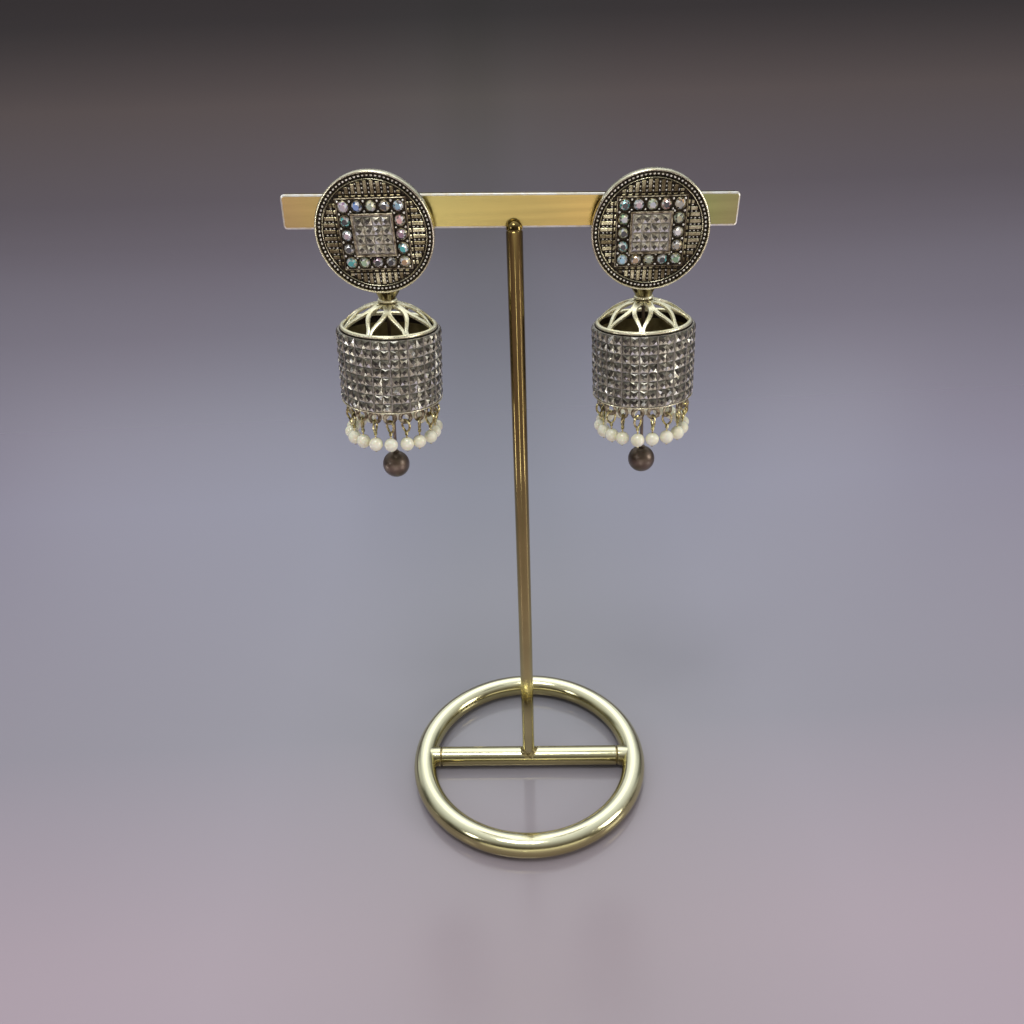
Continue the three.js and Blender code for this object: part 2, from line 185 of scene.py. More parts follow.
# Fringe and centre drop
PEARL_COUNT = 18
FRINGE_RADIUS = 10.2
PEARL_RADIUS = 1.62
PEARL_DROP = 34.8
RING_RADIUS = 1.3
RING_DROP = 28.1
PIN_RADIUS = 0.18
PIN_END_RADIUS = 0.3
WASHER_OUTER = 1.6
WASHER_INNER = 0.72
WASHER_FLATTENING = 0.55
EYE_TOP = 0.5
EYE_LENGTH = 3.0
EYE_HALF_WIDTH = 1.05
EYE_WIRE = 0.27
WRAP_TURNS = 3
WRAP_PITCH = 0.24
LUG_RADIUS = 0.6
LUG_WIRE = 0.17
BALL_RADIUS = 3.3
BALL_DROP = 44.3
BALL_PIN_RADIUS = 0.4

EARRINGS = {
    "left": {"pivot": (-28.4, 5.166, 145.958), "turn": 3.2, "petals": -14, "fringe": 6},
    "right": {"pivot": (29.1, 5.166, 144.251), "turn": -2.2, "petals": -8, "fringe": -12},
}


# Mesh making

class Shape:
    """Points in millimetres and faces, each with a tint and a finish, None for the piece's own."""

    def __init__(self):
        self.points = []
        self.faces = []
        self.looks = []
        self.tints = []

    def add(self, points, faces, look=None):
        first = len(self.points)
        self.points.extend(Vector(p) for p in points)
        self.faces.extend([first + i for i in face] for face in faces)
        self.looks.extend([look] * len(faces))
        self.tints.extend([(1, 1, 1)] * len(faces))
        return self

    def join(self, other, place=None):
        first = len(self.points)
        self.points.extend(place @ p if place else p.copy() for p in other.points)
        self.faces.extend([first + i for i in face] for face in other.faces)
        self.looks.extend(other.looks)
        self.tints.extend(other.tints)
        return self

    def middle(self, face):
        return sum((self.points[i] for i in face), Vector()) / len(face)


def lofted(loops, look=None, around=True, ring=False, capped=True):
    """A skin over loops of points, each with as many points as the next."""
    count = len(loops[0])
    faces = []
    for k in range(len(loops) if ring else len(loops) - 1):
        a = k * count
        b = (k + 1) % len(loops) * count
        for i in range(count if around else count - 1):
            j = (i + 1) % count
            faces.append((a + i, a + j, b + j, b + i))
    if capped and not ring:
        faces.append(tuple(reversed(range(count))))
        faces.append(tuple(range((len(loops) - 1) * count, len(loops) * count)))
    return Shape().add([p for loop in loops for p in loop], faces, look)


def turned(profile, sides, look=None, ring=False, start=0.0):
    """A turned form about Z from pairs of radius and height. A ring's profile closes on itself."""
    angles = [start + 2 * math.pi * k / sides for k in range(sides)]
    loops = [[(radius * math.cos(a), radius * math.sin(a), height) for a in angles]
             for radius, height in profile]
    return lofted(loops, look, ring=ring, capped=False)


def circle(radius, steps, middle=(0, 0)):
    angles = [2 * math.pi * k / steps for k in range(steps)]
    return [(middle[0] + radius * math.cos(a), middle[1] + radius * math.sin(a)) for a in angles]


def torus(radius, wire, around=48, section=12, look=None):
    return turned(circle(wire, section, (radius, 0)), around, look, ring=True)


def ball(radius, sides=28, rings=14):
    angles = [math.pi * (k / rings - 0.5) for k in range(rings + 1)]
    return turned([(radius * math.cos(a), radius * math.sin(a)) for a in angles], sides)


def granule(radius, look):
    """The upper part of a small cast bead, standing near Z = 0."""
    angles = [-0.5, 0.15, 0.75, 1.2, math.pi / 2]
    return turned([(radius * math.cos(a), radius * (math.sin(a) + 0.3)) for a in angles], 9, look)


def rod(radius, low, high, sides=16, look=None):
    return turned([(0, low), (radius, low), (radius, high), (0, high)], sides, look)


def raised_bar(width, start, end, low, high, edge):
    """A flat-topped rib along Y with softened upper edges."""
    def loop(inset, height):
        x = width / 2 - inset
        return [(-x, start + inset, height), (x, start + inset, height),
                (x, end - inset, height), (-x, end - inset, height)]
    return lofted([loop(0, low), loop(0, high - edge), loop(edge, high)])


def square_ring(profile, look):
    """A square frame about Z from pairs of half side and height."""
    corner = [(half * math.sqrt(2), height) for half, height in profile]
    return turned(corner, 4, look, ring=True, start=math.pi / 4)


def swept(path, ups, section, widths=None, look=None, ring=False):
    """A section of side and up distances carried along a path."""
    loops = []
    last = len(path) - 1
    for k, point in enumerate(path):
        before = path[k - 1] if k or ring else path[0]
        after = path[(k + 1) % len(path)] if k < last or ring else path[last]
        along = (after - before).normalized()
        side = along.cross(ups[k]).normalized()
        up = side.cross(along)
        width = widths[k] if widths else 1
        loops.append([point + side * a * width + up * b for a, b in section])
    return lofted(loops, look, ring=ring)


def rounded_section(width, height, radius, steps=3):
    points = []
    for cx, cy, start in ((1, 1, 0), (-1, 1, 90), (-1, -1, 180), (1, -1, 270)):
        for k in range(steps + 1):
            a = (start + 90 * k / steps) * DEGREE
            points.append((cx * (width / 2 - radius) + radius * math.cos(a),
                           cy * (height / 2 - radius) + radius * math.sin(a)))
    return points


def spin(angle, axis="Z"):
    return Matrix.Rotation(angle, 4, axis)


def shift(x, y, z):
    return Matrix.Translation((x, y, z))


def piece(name, shape, finish, body, place=None, sharp=38, stands_for=()):
    """An object from a shape, riding on a body and standing for nodes of the part."""
    mesh = bpy.data.meshes.new(name)
    points = [(place @ p if place else p) * MM for p in shape.points]
    mesh.from_pydata([tuple(p) for p in points], [], shape.faces)
    finishes = [finish]
    for look in shape.looks:
        if look and look not in finishes:
            finishes.append(look)
    for used in finishes:
        mesh.materials.append(used)
    mesh.polygons.foreach_set("material_index", [finishes.index(look or finish) for look in shape.looks])
    tint = mesh.color_attributes.new("tint", "FLOAT_COLOR", "CORNER")
    colours = []
    for face, colour in zip(shape.faces, shape.tints):
        colours.extend([*colour, 1.0] * len(face))
    tint.data.foreach_set("color", colours)
    work = bmesh.new()
    work.from_mesh(mesh)
    bmesh.ops.remove_doubles(work, verts=work.verts, dist=0.0000002)
    bmesh.ops.dissolve_degenerate(work, edges=work.edges, dist=0.0000002)
    bmesh.ops.recalc_face_normals(work, faces=work.faces)
    work.to_mesh(mesh)
    work.free()
    mesh.polygons.foreach_set("use_smooth", [True] * len(mesh.polygons))
    mesh.set_sharp_from_angle(angle=sharp * DEGREE)
    mesh.update()
    made = bpy.data.objects.new(name, mesh)
    bpy.context.scene.collection.objects.link(made)
    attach(made, body)
    if stands_for:
        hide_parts(*stands_for)


# Materials

class Nodes:
    """The node tree of a material or world with short ways to add to it."""

    def __init__(self, owner, shader, coordinate="Object"):
        owner.use_nodes = True
        self.owner = owner
        self.tree = owner.node_tree
        self.shader = self.tree.nodes[shader]
        self.coordinate = coordinate

    def node(self, kind, **inputs):
        made = self.tree.nodes.new(kind)
        for name, value in inputs.items():
            made.inputs[name.replace("_", " ")].default_value = value
        return made

    def link(self, source, target):
        self.tree.links.new(source, target)

    def put(self, socket, value):
        """A number or colour set on a socket, or an output linked to it."""
        if isinstance(value, (int, float)):
            socket.default_value = value
        elif isinstance(value, tuple):
            socket.default_value = (*value, 1)
        else:
            self.link(value, socket)

    def set(self, **values):
        for name, value in values.items():
            self.put(self.shader.inputs[name.replace("_", " ")], value)

    def place(self):
        return self.node("ShaderNodeTexCoord").outputs[self.coordinate]

    def axes(self):
        split = self.node("ShaderNodeSeparateXYZ")
        self.link(self.place(), split.inputs[0])
        return split.outputs

    def share(self, source, start, end):
        """From 0 to 1 as a value runs from start to end."""
        made = self.node("ShaderNodeMapRange", From_Min=start, From_Max=end)
        self.link(source, made.inputs["Value"])
        return made.outputs["Result"]

    def maths(self, operation, *values):
        made = self.node("ShaderNodeMath")
        made.operation = operation
        for socket, value in zip(made.inputs, values):
            self.put(socket, value)
        return made.outputs[0]

    def noise(self, scale, detail, stretch=None):
        made = self.node("ShaderNodeTexNoise", Scale=scale, Detail=detail)
        source = self.place()
        if stretch:
            mapping = self.node("ShaderNodeMapping", Scale=stretch)
            self.link(source, mapping.inputs["Vector"])
            source = mapping.outputs["Vector"]
        self.link(source, made.inputs["Vector"])
        return made.outputs["Fac"]

    def ramp(self, source, stops):
        made = self.node("ShaderNodeValToRGB")
        self.link(source, made.inputs["Fac"])
        elements = made.color_ramp.elements
        while len(elements) < len(stops):
            elements.new(0.5)
        for element, (position, value) in zip(elements, stops):
            colour = value if isinstance(value, tuple) else (value, value, value)
            element.position = position
            element.color = (*colour, 1)
        return made.outputs["Color"]

    def mix(self, first, second, share, kind="MIX"):
        made = self.node("ShaderNodeMix")
        made.data_type = "RGBA"
        made.blend_type = kind
        self.put(made.inputs[0], share)
        self.put(made.inputs[6], first)
        self.put(made.inputs[7], second)
        return made.outputs[2]

    def times(self, first, second):
        return self.mix(first, second, 1.0, "MULTIPLY")

    def bump(self, source, strength, distance):
        made = self.node("ShaderNodeBump", Strength=strength, Distance=distance)
        self.link(source, made.inputs["Height"])
        self.link(made.outputs["Normal"], self.shader.inputs["Normal"])

    def open_share(self, distance, stops):
        """How open the surface is, from 0 deep in a corner to 1."""
        made = self.node("ShaderNodeAmbientOcclusion", Distance=distance)
        made.samples = 6
        return self.ramp(made.outputs["AO"], stops)


def material_nodes(name):
    return Nodes(bpy.data.materials.new(name), "Principled BSDF")


def finish(name, colour, relief=None, rough=None, grade=None, patch=None, tinted=False, corners=None,
           **values):
    """A clouded colour with fine relief. A noise is scale, detail and sometimes a stretch. Colour, rough
    and patch are a noise and its stops, relief is a noise, a strength and a distance, grade is an axis,
    its start and end and the stops between, corners is a colour, a reach and the stops of openness."""
    n = material_nodes(name)

    def cloud(noise, stops):
        return n.ramp(n.noise(*noise), stops)

    base = cloud(*colour)
    if patch:
        base = n.times(base, cloud(*patch))
    if grade:
        axis, start, end, stops = grade
        base = n.times(n.ramp(n.share(n.axes()[axis], start, end), stops), base)
    if tinted:
        tint = n.node("ShaderNodeVertexColor")
        tint.layer_name = "tint"
        base = n.times(tint.outputs["Color"], base)
    if corners:
        dark, reach, stops = corners
        base = n.mix(dark, base, n.open_share(reach, stops))
    n.set(Base_Color=base, **values)
    if rough:
        n.set(Roughness=cloud(*rough))
    if relief:
        noise, strength, distance = relief
        n.bump(n.noise(*noise), strength, distance)
    return n.owner


def floor_finish():
    """Plain pale board with painted shade, greyer and darker towards its far end and a little darker near
    the stand's middle, pinker to the sides, glossy only around the stand's ring.
    """
    n = material_nodes("floor_finish")
    axes = n.axes()
    share = n.share(n.maths("MULTIPLY_ADD", axes["Z"], 2.0, axes["Y"]), -0.2, 2.2)
    aside = n.maths("ABSOLUTE", axes["X"])
    # Painted shade: darker and greyer towards the far end
    far = n.ramp(share, [
        (0.06, (0.41, 0.34, 0.38)), (0.09, (0.30, 0.29, 0.33)), (0.16, (0.30, 0.30, 0.37)),
        (0.3, (0.21, 0.20, 0.25)), (0.6, (0.13, 0.11, 0.13)), (0.8, (0.15, 0.12, 0.11)),
        (0.96, (0.06, 0.05, 0.05))])
    # Painted shade a little darker near the stand's middle, pinker out to the sides
    painted_shade_and_side_tint = n.ramp(aside, [(0.02, (0.95, 0.96, 0.94)), (0.08, (1.06, 1.05, 1.07)), (0.3, (1.06, 0.95, 1.0))])
    along = n.ramp(share, [
        (0.03, 0.55), (0.048, 0.26), (0.06, 0.22), (0.072, 0.11), (0.09, 0.11), (0.3, 0.4), (0.5, 0.6)])
    across = n.ramp(aside, [(0.02, 0.1), (0.12, 0.26)])
    n.set(Base_Color=n.times(far, painted_shade_and_side_tint), Roughness=n.mix(along, across, 1.0, "LIGHTEN"),
          Specular_IOR_Level=0.45)
    return n.owner


ROLLED = (900, 4, (0.03, 1, 1))
DRAWN = (1400, 3, (1, 1, 0.01))
STREAK = (900, 4, (1, 1, 0.35))

# Polished pale gold plate, painted paler on its top as a painted highlight and painted olive-dark down its
# flanks as painted shade
STAND = finish(
    "stand_gold", ((45, 3), [(0.35, (0.93, 0.93, 0.9)), (0.65, (1.03, 1.02, 1.0))]),
    ((260, 3), 0.05, 0.0002), ((900, 4), [(0.3, 0.12), (0.75, 0.22)]),
    # By height: painted shade low on the flanks, painted highlight at the crown
    ("Z", 0.0, 0.0066, [(0.2, (0.34, 0.27, 0.12)), (0.5, (0.50, 0.43, 0.20)), (0.76, (0.62, 0.57, 0.30)),
                        (0.98, (0.86, 0.83, 0.60))]),
    Metallic=1.0, Coat_Weight=0.25, Coat_Roughness=0.05)
# Rolled brass plating whose hue drifts from copper through gold to olive along the bar, a painted
# reflection that is also darker at its ends
BAR_FINISH = finish(
    "bar_gold", ((70, 3, (0.35, 1, 1)), [(0.35, (0.88, 0.9, 0.92)), (0.65, (1.08, 1.04, 1.0))]),
    (ROLLED, 0.08, 0.0001), (ROLLED, [(0.3, 0.16), (0.75, 0.26)]),
    # Along the bar: painted reflection in both hue and brightness
    ("X", -0.05, 0.05, [(0.02, (0.39, 0.28, 0.13)), (0.12, (0.40, 0.31, 0.12)), (0.28, (0.49, 0.43, 0.16)),
                        (0.5, (0.55, 0.43, 0.15)), (0.66, (0.63, 0.46, 0.16)), (0.78, (0.52, 0.42, 0.15)),
                        (0.9, (0.28, 0.30, 0.12)), (0.98, (0.31, 0.28, 0.13))]),
    Metallic=1.0)
# The post's plating, drawn along its length, painted browner and darker towards its top as painted shade
# and paler at its foot as a painted reflection
POST_FINISH = finish(
    "post_gold", ((60, 3), [(0.35, (0.85, 0.85, 0.82)), (0.65, (1.1, 1.08, 1.05))]),
    (DRAWN, 0.12, 0.0001), (DRAWN, [(0.3, 0.08), (0.75, 0.18)]),
    # By height: painted reflection pale at the foot, painted shade dark at the top
    ("Z", 0.0, 0.16, [(0.12, (0.66, 0.58, 0.30)), (0.4, (0.42, 0.34, 0.15)), (0.7, (0.21, 0.155, 0.06)),
                      (0.95, (0.19, 0.14, 0.05))]),
    Metallic=1.0)
# Painted highlight on the bar's edges: bright, near-white plating
EDGE_HIGHLIGHT = finish("edge_highlight_gold", ((800, 4), [(0.35, (0.90, 0.82, 0.62)), (0.6, (1.0, 0.98, 0.92))]),
                     ((800, 4), 0.1, 0.0001), Metallic=0.7, Roughness=0.3)
# Plated weld metal, dull and a little browned
WELD = finish("weld_gold", ((1800, 4), [(0.35, (0.16, 0.12, 0.05)), (0.6, (0.56, 0.48, 0.25))]),
              ((1800, 4), 0.5, 0.0003), Metallic=1.0, Roughness=0.34)
# Cast pale brass, patchy, and dark with patina in its corners
ANTIQUE = finish(
    "antique_gold", ((700, 4), [(0.3, (0.45, 0.40, 0.22)), (0.7, (0.84, 0.79, 0.52))]),
    ((2600, 3), 0.25, 0.00008), ((2400, 3), [(0.3, 0.2), (0.75, 0.36)]),
    patch=((170, 1), [(0.42, (0.28, 0.25, 0.22)), (0.58, (1.0, 1.0, 1.0))]),
    corners=((0.03, 0.02, 0.012), 0.0007, [(0.25, 0.0), (0.8, 1.0)]), Metallic=1.0)
# The rim's polished pale brass
RIM = finish("rim_gold", ((600, 4), [(0.3, (0.55, 0.50, 0.33)), (0.65, (0.84, 0.80, 0.60))]),
             ((2400, 3), 0.15, 0.00008), ((2200, 3), [(0.3, 0.18), (0.75, 0.32)]), Metallic=1.0)
# Granules rubbed bright and also painted near white as a painted highlight, on a dark ground
BEADS = finish("bead_gold", ((1500, 2), [(0.35, (0.88, 0.84, 0.66)), (0.65, (1.0, 0.98, 0.9))]),
               ((1500, 2), 0.1, 0.00005), Metallic=0.5, Roughness=0.26,
               corners=((0.05, 0.035, 0.02), 0.0005, [(0.55, 0.0), (0.9, 1.0)]))
# Browned metal of the square frames, bright only in places
BRONZE = finish("frame_bronze", ((1100, 4), [(0.4, (0.12, 0.09, 0.055)), (0.66, (0.55, 0.49, 0.34))]),
                ((1100, 4), 0.2, 0.0001), Metallic=1.0, Roughness=0.34)
# The blackened ground between the raised work
DARK = finish("oxidised", ((3000, 4), [(0.4, (0.008, 0.006, 0.004)), (0.72, (0.07, 0.05, 0.025))]),
              ((3000, 4), 0.5, 0.0001), Metallic=0.7, Roughness=0.5)
# Bright cream-gold plate on the pierced dome
PALE = finish("pale_gold", ((500, 4), [(0.3, (0.92, 0.86, 0.56)), (0.7, (1.0, 0.97, 0.74))]),
              ((2500, 3), 0.22, 0.00008), ((2200, 3), [(0.3, 0.24), (0.75, 0.4)]), Metallic=0.85,
              corners=((0.16, 0.11, 0.05), 0.0008, [(0.15, 0.0), (0.6, 1.0)]))
# Thin yellow-gold wire of the fringe
WIRE = finish("wire_gold", ((1500, 3), [(0.35, (0.28, 0.21, 0.07)), (0.65, (0.90, 0.82, 0.45))]),
              rough=((1500, 3), [(0.3, 0.16), (0.7, 0.3)]), Metallic=1.0)
# Brown-black cast cup with olive gold on its high places
CUP = finish("dark_cup", (STREAK, [(0.42, (0.05, 0.035, 0.015)), (0.6, (0.50, 0.44, 0.22))]),
             (STREAK, 0.4, 0.0002), Metallic=1.0, Roughness=0.36)
# The unpolished inside of the bell
INSIDE = finish("inner_metal", ((400, 4), [(0.3, (0.18, 0.15, 0.07)), (0.7, (0.44, 0.38, 0.20))]),
                ((400, 4), 0.3, 0.0003), Metallic=0.9, Roughness=0.42)
# The net between the stones of the band
NET = finish("mesh_ground", ((1200, 3), [(0.3, (0.20, 0.18, 0.16)), (0.7, (0.50, 0.46, 0.41))]),
             ((1200, 3), 0.3, 0.0001), Metallic=0.4, Roughness=0.35)
# Foil-backed grey stones, tinted facet by facet with painted reflections and painted glints
CRYSTAL = finish("mesh_crystal", ((2200, 2), [(0.38, (0.7, 0.67, 0.65)), (0.62, (1.0, 1.0, 1.0))]),
                 tinted=True, Metallic=0.5, Roughness=0.2, Coat_Weight=0.5, Coat_Roughness=0.05,
                 Coat_IOR=1.5)
# Coated glass whose colour changes from facet to facet, with painted glints, painted shade and a painted
# sparkle in each facet's brightness
RAINBOW = finish("rainbow_stone", ((1400, 1), [(0.4, (0.85, 0.9, 0.95)), (0.6, (1.0, 0.96, 0.9))]),
                 tinted=True, Metallic=0.35, Roughness=0.12, Coat_Weight=0.7, Coat_Roughness=0.03,
                 Coat_IOR=1.6)
# Ivory pearl with a soft lustre
PEARL = finish("pearl", ((420, 3), [(0.3, (0.96, 0.92, 0.66)), (0.7, (1.0, 0.99, 0.82))]),
               ((1500, 2), 0.06, 0.0001), Metallic=0.0, Roughness=0.24, Coat_Weight=0.9,
               Coat_Roughness=0.08, Subsurface_Weight=0.08, Subsurface_Scale=0.001)
# Burnished gunmetal of the centre ball
GUNMETAL = finish("dark_metal", ((300, 4), [(0.3, (0.11, 0.08, 0.055)), (0.7, (0.21, 0.155, 0.115))]),
                  ((2000, 3), 0.12, 0.0001), ((1800, 3), [(0.3, 0.36), (0.75, 0.5)]), Metallic=1.0,
                  Coat_Weight=0.5, Coat_Roughness=0.3)


# Display stand

def cross_tube():
    """The tube across the floor ring, grooved and flared where it is welded."""
    end = BASE_RING_RADIUS
    marks = [(WELD_GROOVE_X + x, rise) for x, rise in WELD_MARKS] + [(end, -TUBE_END_TUCK)]
    stops = [(CROSS_TUBE_RADIUS + rise, -x) for x, rise in reversed(marks)]
    stops += [(CROSS_TUBE_RADIUS + rise, x) for x, rise in marks]
    tube = turned([(0, -end)] + stops + [(0, end)], 48)
    for index, face in enumerate(tube.faces):
        away = sum(abs(tube.points[i].z) for i in face) / len(face)
        if abs(away - WELD_GROOVE_X) < WELD_GROOVE_HALF:
            tube.looks[index] = WELD
    return tube


def stand_base():
    shape = torus(BASE_RING_RADIUS, BASE_TUBE_RADIUS, 160, 40)
    shape.join(cross_tube(), spin(BASE_TURN) @ spin(math.pi / 2, "Y"))
    piece("stand_base_ring", shape, STAND, "stand", shift(0, 0, BASE_TUBE_RADIUS),
          stands_for=["stand_base"])


def saddle_weld():
    """A small uneven weld where the post's foot meets the round of the cross tube."""
    loops = []
    for out, up in SADDLE_WELD:
        loop = []
        for k in range(40):
            a = 2 * math.pi * k / 40
            lump = 1 + 0.16 * math.sin(5 * a + 1) + 0.1 * math.sin(9 * a)
            radius = POST_RADIUS + out * lump
            y = radius * math.sin(a)
            tube_top = math.sqrt(max(CROSS_TUBE_RADIUS ** 2 - min(abs(y), CROSS_TUBE_RADIUS) ** 2, 0.2))
            loop.append((radius * math.cos(a), y, BASE_TUBE_RADIUS + tube_top + up))
        loops.append(loop)
    return lofted(loops, WELD, capped=False)


def top_bar():
    """The flat bar with rounded corners and a painted highlight on its edges."""
    edge = BAR_EDGE_ROUND
    front = BAR_FRONT_Y
    back = front + BAR_THICKNESS

    def outline(inset, y):
        radius = BAR_CORNER_RADIUS - inset
        section = rounded_section(BAR_LENGTH - 2 * inset, BAR_HEIGHT - 2 * inset, radius, 6)
        return [(x, y, z) for x, z in section]

    loops = [outline(edge, front), outline(edge * 0.3, front + edge * 0.3), outline(0, front + edge),
             outline(0, back - edge), outline(edge * 0.3, back - edge * 0.3), outline(edge, back)]
    bar = lofted(loops)
    # The bevelled edges take the painted highlight
    for index in range(len(bar.faces) - 2):
        if index // len(loops[0]) != 2:
            bar.looks[index] = EDGE_HIGHLIGHT
    place = shift(0, 0, BAR_BOTTOM_HEIGHT + BAR_HEIGHT / 2) @ spin(BAR_TILT, "Y")
    return Shape().join(bar, place)


def stand_upright():
    low = BASE_TUBE_RADIUS + CROSS_TUBE_RADIUS * 0.6
    cap = POST_TOP - POST_RADIUS
    groove = POST_RADIUS - 0.12
    profile = [(0, low), (POST_RADIUS, low), (POST_RADIUS, cap - 0.5), (groove, cap - 0.35),
               (groove, cap - 0.2), (POST_RADIUS + 0.02, cap)]
    for k in range(1, 9):
        a = k * math.pi / 16
        profile.append((POST_RADIUS * math.cos(a), cap + POST_RADIUS * math.sin(a)))
    post = turned(profile, 48)
    post.join(saddle_weld(), spin(BASE_TURN))
    piece("stand_post", post, POST_FINISH, "stand")
    piece("stand_bar", top_bar(), BAR_FINISH, "stand", sharp=12, stands_for=["stand_upright"])


# Stud, drawn facing +Z and then stood up

def disc():
    r = DISC_RADIUS
    h = DISC_RIM_HEIGHT
    floor = DISC_FLOOR_HEIGHT
    inside = r - DISC_RIM_WALL
    shape = turned([(0, 0), (r - 0.35, 0), (r - 0.1, 0.1), (r, 0.35)], 120)
    rim = [(r, 0.35), (r, h - 0.22), (r - 0.07, h - 0.06), (r - 0.18, h), (r - 0.3, h - 0.03),
           (r - 0.42, h - 0.2), (inside, floor)]
    shape.join(turned(rim, 120, RIM))
    shape.join(turned([(inside, floor), (CHANNEL_INSIDE, floor)], 120, DARK))
    angles = [math.pi * k / 8 for k in range(9)]
    line = [(RING_LINE_RADIUS + RING_LINE_HALF * math.cos(a),
             floor + (RING_LINE_HEIGHT - floor) * math.sin(a)) for a in angles]
    shape.join(turned(line, 120, RIM))
    return shape.join(turned([(RING_LINE_RADIUS - RING_LINE_HALF, floor), (0, floor)], 120, DARK))


def frames():
    shape = Shape()
    low = DISC_FLOOR_HEIGHT - SUNK
    e = FRAME_EDGE
    for half, height in ((BORDER_HALF, BORDER_FRAME_HEIGHT), (PANEL_HALF, PANEL_FRAME_HEIGHT)):
        inner = half - FRAME_WALL
        shape.join(square_ring([(half, low), (half, height - e), (half - e, height), (inner + e, height),
                                (inner, height - e), (inner, low)], BRONZE))
    return shape


def ribs_and_granules():
    """Four fields of flat ribs with lines of granules between them, around the square border."""
    shape = Shape()
    low = DISC_FLOOR_HEIGHT - SUNK
    inside = RING_LINE_RADIUS - RING_LINE_HALF
    dash = raised_bar(DASH_LENGTH, BORDER_HALF + 0.08, BORDER_HALF + 0.48, low,
                      RIB_HEIGHT + 0.15, 0.1)
    for quarter in range(4):
        place = spin(quarter * math.pi / 2)
        for k in range(-RIBS_EACH_WAY, RIBS_EACH_WAY):
            side = (k + 0.5) * RIB_PITCH
            reach = abs(side) + RIB_WIDTH / 2
            end = math.sqrt((inside - 0.1) ** 2 - reach ** 2)
            rib = raised_bar(RIB_WIDTH, BORDER_HALF + 0.75, end, low, RIB_HEIGHT, 0.06)
            tilt = spin(chance.uniform(-0.035, 0.035), "Y")
            shape.join(rib, place @ shift(side, 0, 0) @ tilt)
            shape.join(dash, place @ shift(side, 0, 0))
        for k in range(-RIBS_EACH_WAY, RIBS_EACH_WAY + 1):
            side = k * RIB_PITCH
            end = math.sqrt((inside - 0.25) ** 2 - side ** 2)
            distance = BORDER_HALF + 1.0
            while distance < end:
                grain = granule(GRANULE_RADIUS * chance.uniform(0.92, 1.08), BEADS)
                shape.join(grain, place @ shift(side, distance, DISC_FLOOR_HEIGHT + GRANULE_LIFT))
                distance += GRANULE_PITCH
    return shape


def bead_ring():
    shape = Shape()
    for k in range(BEAD_COUNT):
        angle = 2 * math.pi * k / BEAD_COUNT
        bead = granule(BEAD_RADIUS * chance.uniform(0.95, 1.05), BEADS)
        shape.join(bead, spin(angle) @ shift(BEAD_RING_RADIUS, 0, DISC_FLOOR_HEIGHT + GRANULE_LIFT))
    return shape


def ear_post():
    low = -EAR_POST_LENGTH
    r = EAR_POST_RADIUS
    profile = [(0, low), (r * 0.5, low + 0.05), (r * 0.9, low + 0.3), (r, low + 0.6), (r, low + 1.6),
               (r - 0.12, low + 1.8), (r - 0.12, low + 2.1), (r, low + 2.3), (r, -0.5), (r + 0.3, -0.1),
               (r + 0.45, 0.1)]
    return Shape().join(turned(profile, 24), shift(0, EAR_POST_ABOVE, 0))


def staple():
    """The bent wire behind the plate that the loop hangs on, with the pivot at the origin."""
    path = [Vector((0, STAPLE_ROOT, 0)), Vector((0, STAPLE_SHOULDER, 0))]
    y = STAPLE_BACK - STAPLE_BEND
    for z, start in ((STAPLE_BEND, -90), (STAPLE_RISE - STAPLE_BEND, 0)):
        for k in range(7):
            a = (start + 15 * k) * DEGREE
            path.append(Vector((0, y + STAPLE_BEND * math.cos(a), z + STAPLE_BEND * math.sin(a))))
    path += [Vector((0, STAPLE_SHOULDER, STAPLE_RISE)), Vector((0, STAPLE_ROOT, STAPLE_RISE))]
    return swept(path, [Vector((1, 0, 0))] * len(path), circle(STAPLE_WIRE, 14))


def stud(side, upright, pivot):
    shape = disc()
    for part in (frames(), ribs_and_granules(), bead_ring(), ear_post()):
        shape.join(part)
    plate = Shape().join(shape, upright)
    plate.join(staple(), pivot)
    piece(f"{side}_stud_plate", plate, ANTIQUE, "stand", stands_for=[f"{side}_stud"])


# A main and a second tint for the facets of a stone
RAINBOW_TINTS = {
    "lilac": ((0.60, 0.38, 0.70), (0.85, 0.80, 0.78)),
    "blue": ((0.10, 0.25, 0.62), (0.88, 0.90, 0.94)),
    "cream": ((0.80, 0.74, 0.46), (0.52, 0.60, 0.44)),
    "tan": ((0.72, 0.46, 0.24), (0.62, 0.60, 0.50)),
    "ice": ((0.50, 0.80, 0.96), (0.82, 0.66, 0.70)),
    "teal": ((0.14, 0.62, 0.60), (0.84, 0.72, 0.62)),
    "smoke": ((0.30, 0.27, 0.22), (0.60, 0.58, 0.50)),
    "sage": ((0.36, 0.58, 0.36), (0.82, 0.78, 0.54)),
    "rose": ((0.84, 0.48, 0.48), (0.94, 0.82, 0.56)),
    "mauve": ((0.46, 0.30, 0.38), (0.76, 0.72, 0.64)),
}
# A painted glint and a painted shade that some facets take in place of their tint
PAINTED_GLINT = (0.97, 0.98, 0.98)
PAINTED_SHADE = (0.10, 0.10, 0.10)
BRIGHTEST = 0.98

# The border from its top left corner, clockwise
BORDER_TINTS = {
    "left": "lilac blue cream tan ice rose mauve teal tan smoke mauve sage teal smoke ice teal".split(),
    "right": "teal ice cream rose tan cream smoke tan sage teal cream tan ice teal cream sage".split(),
}


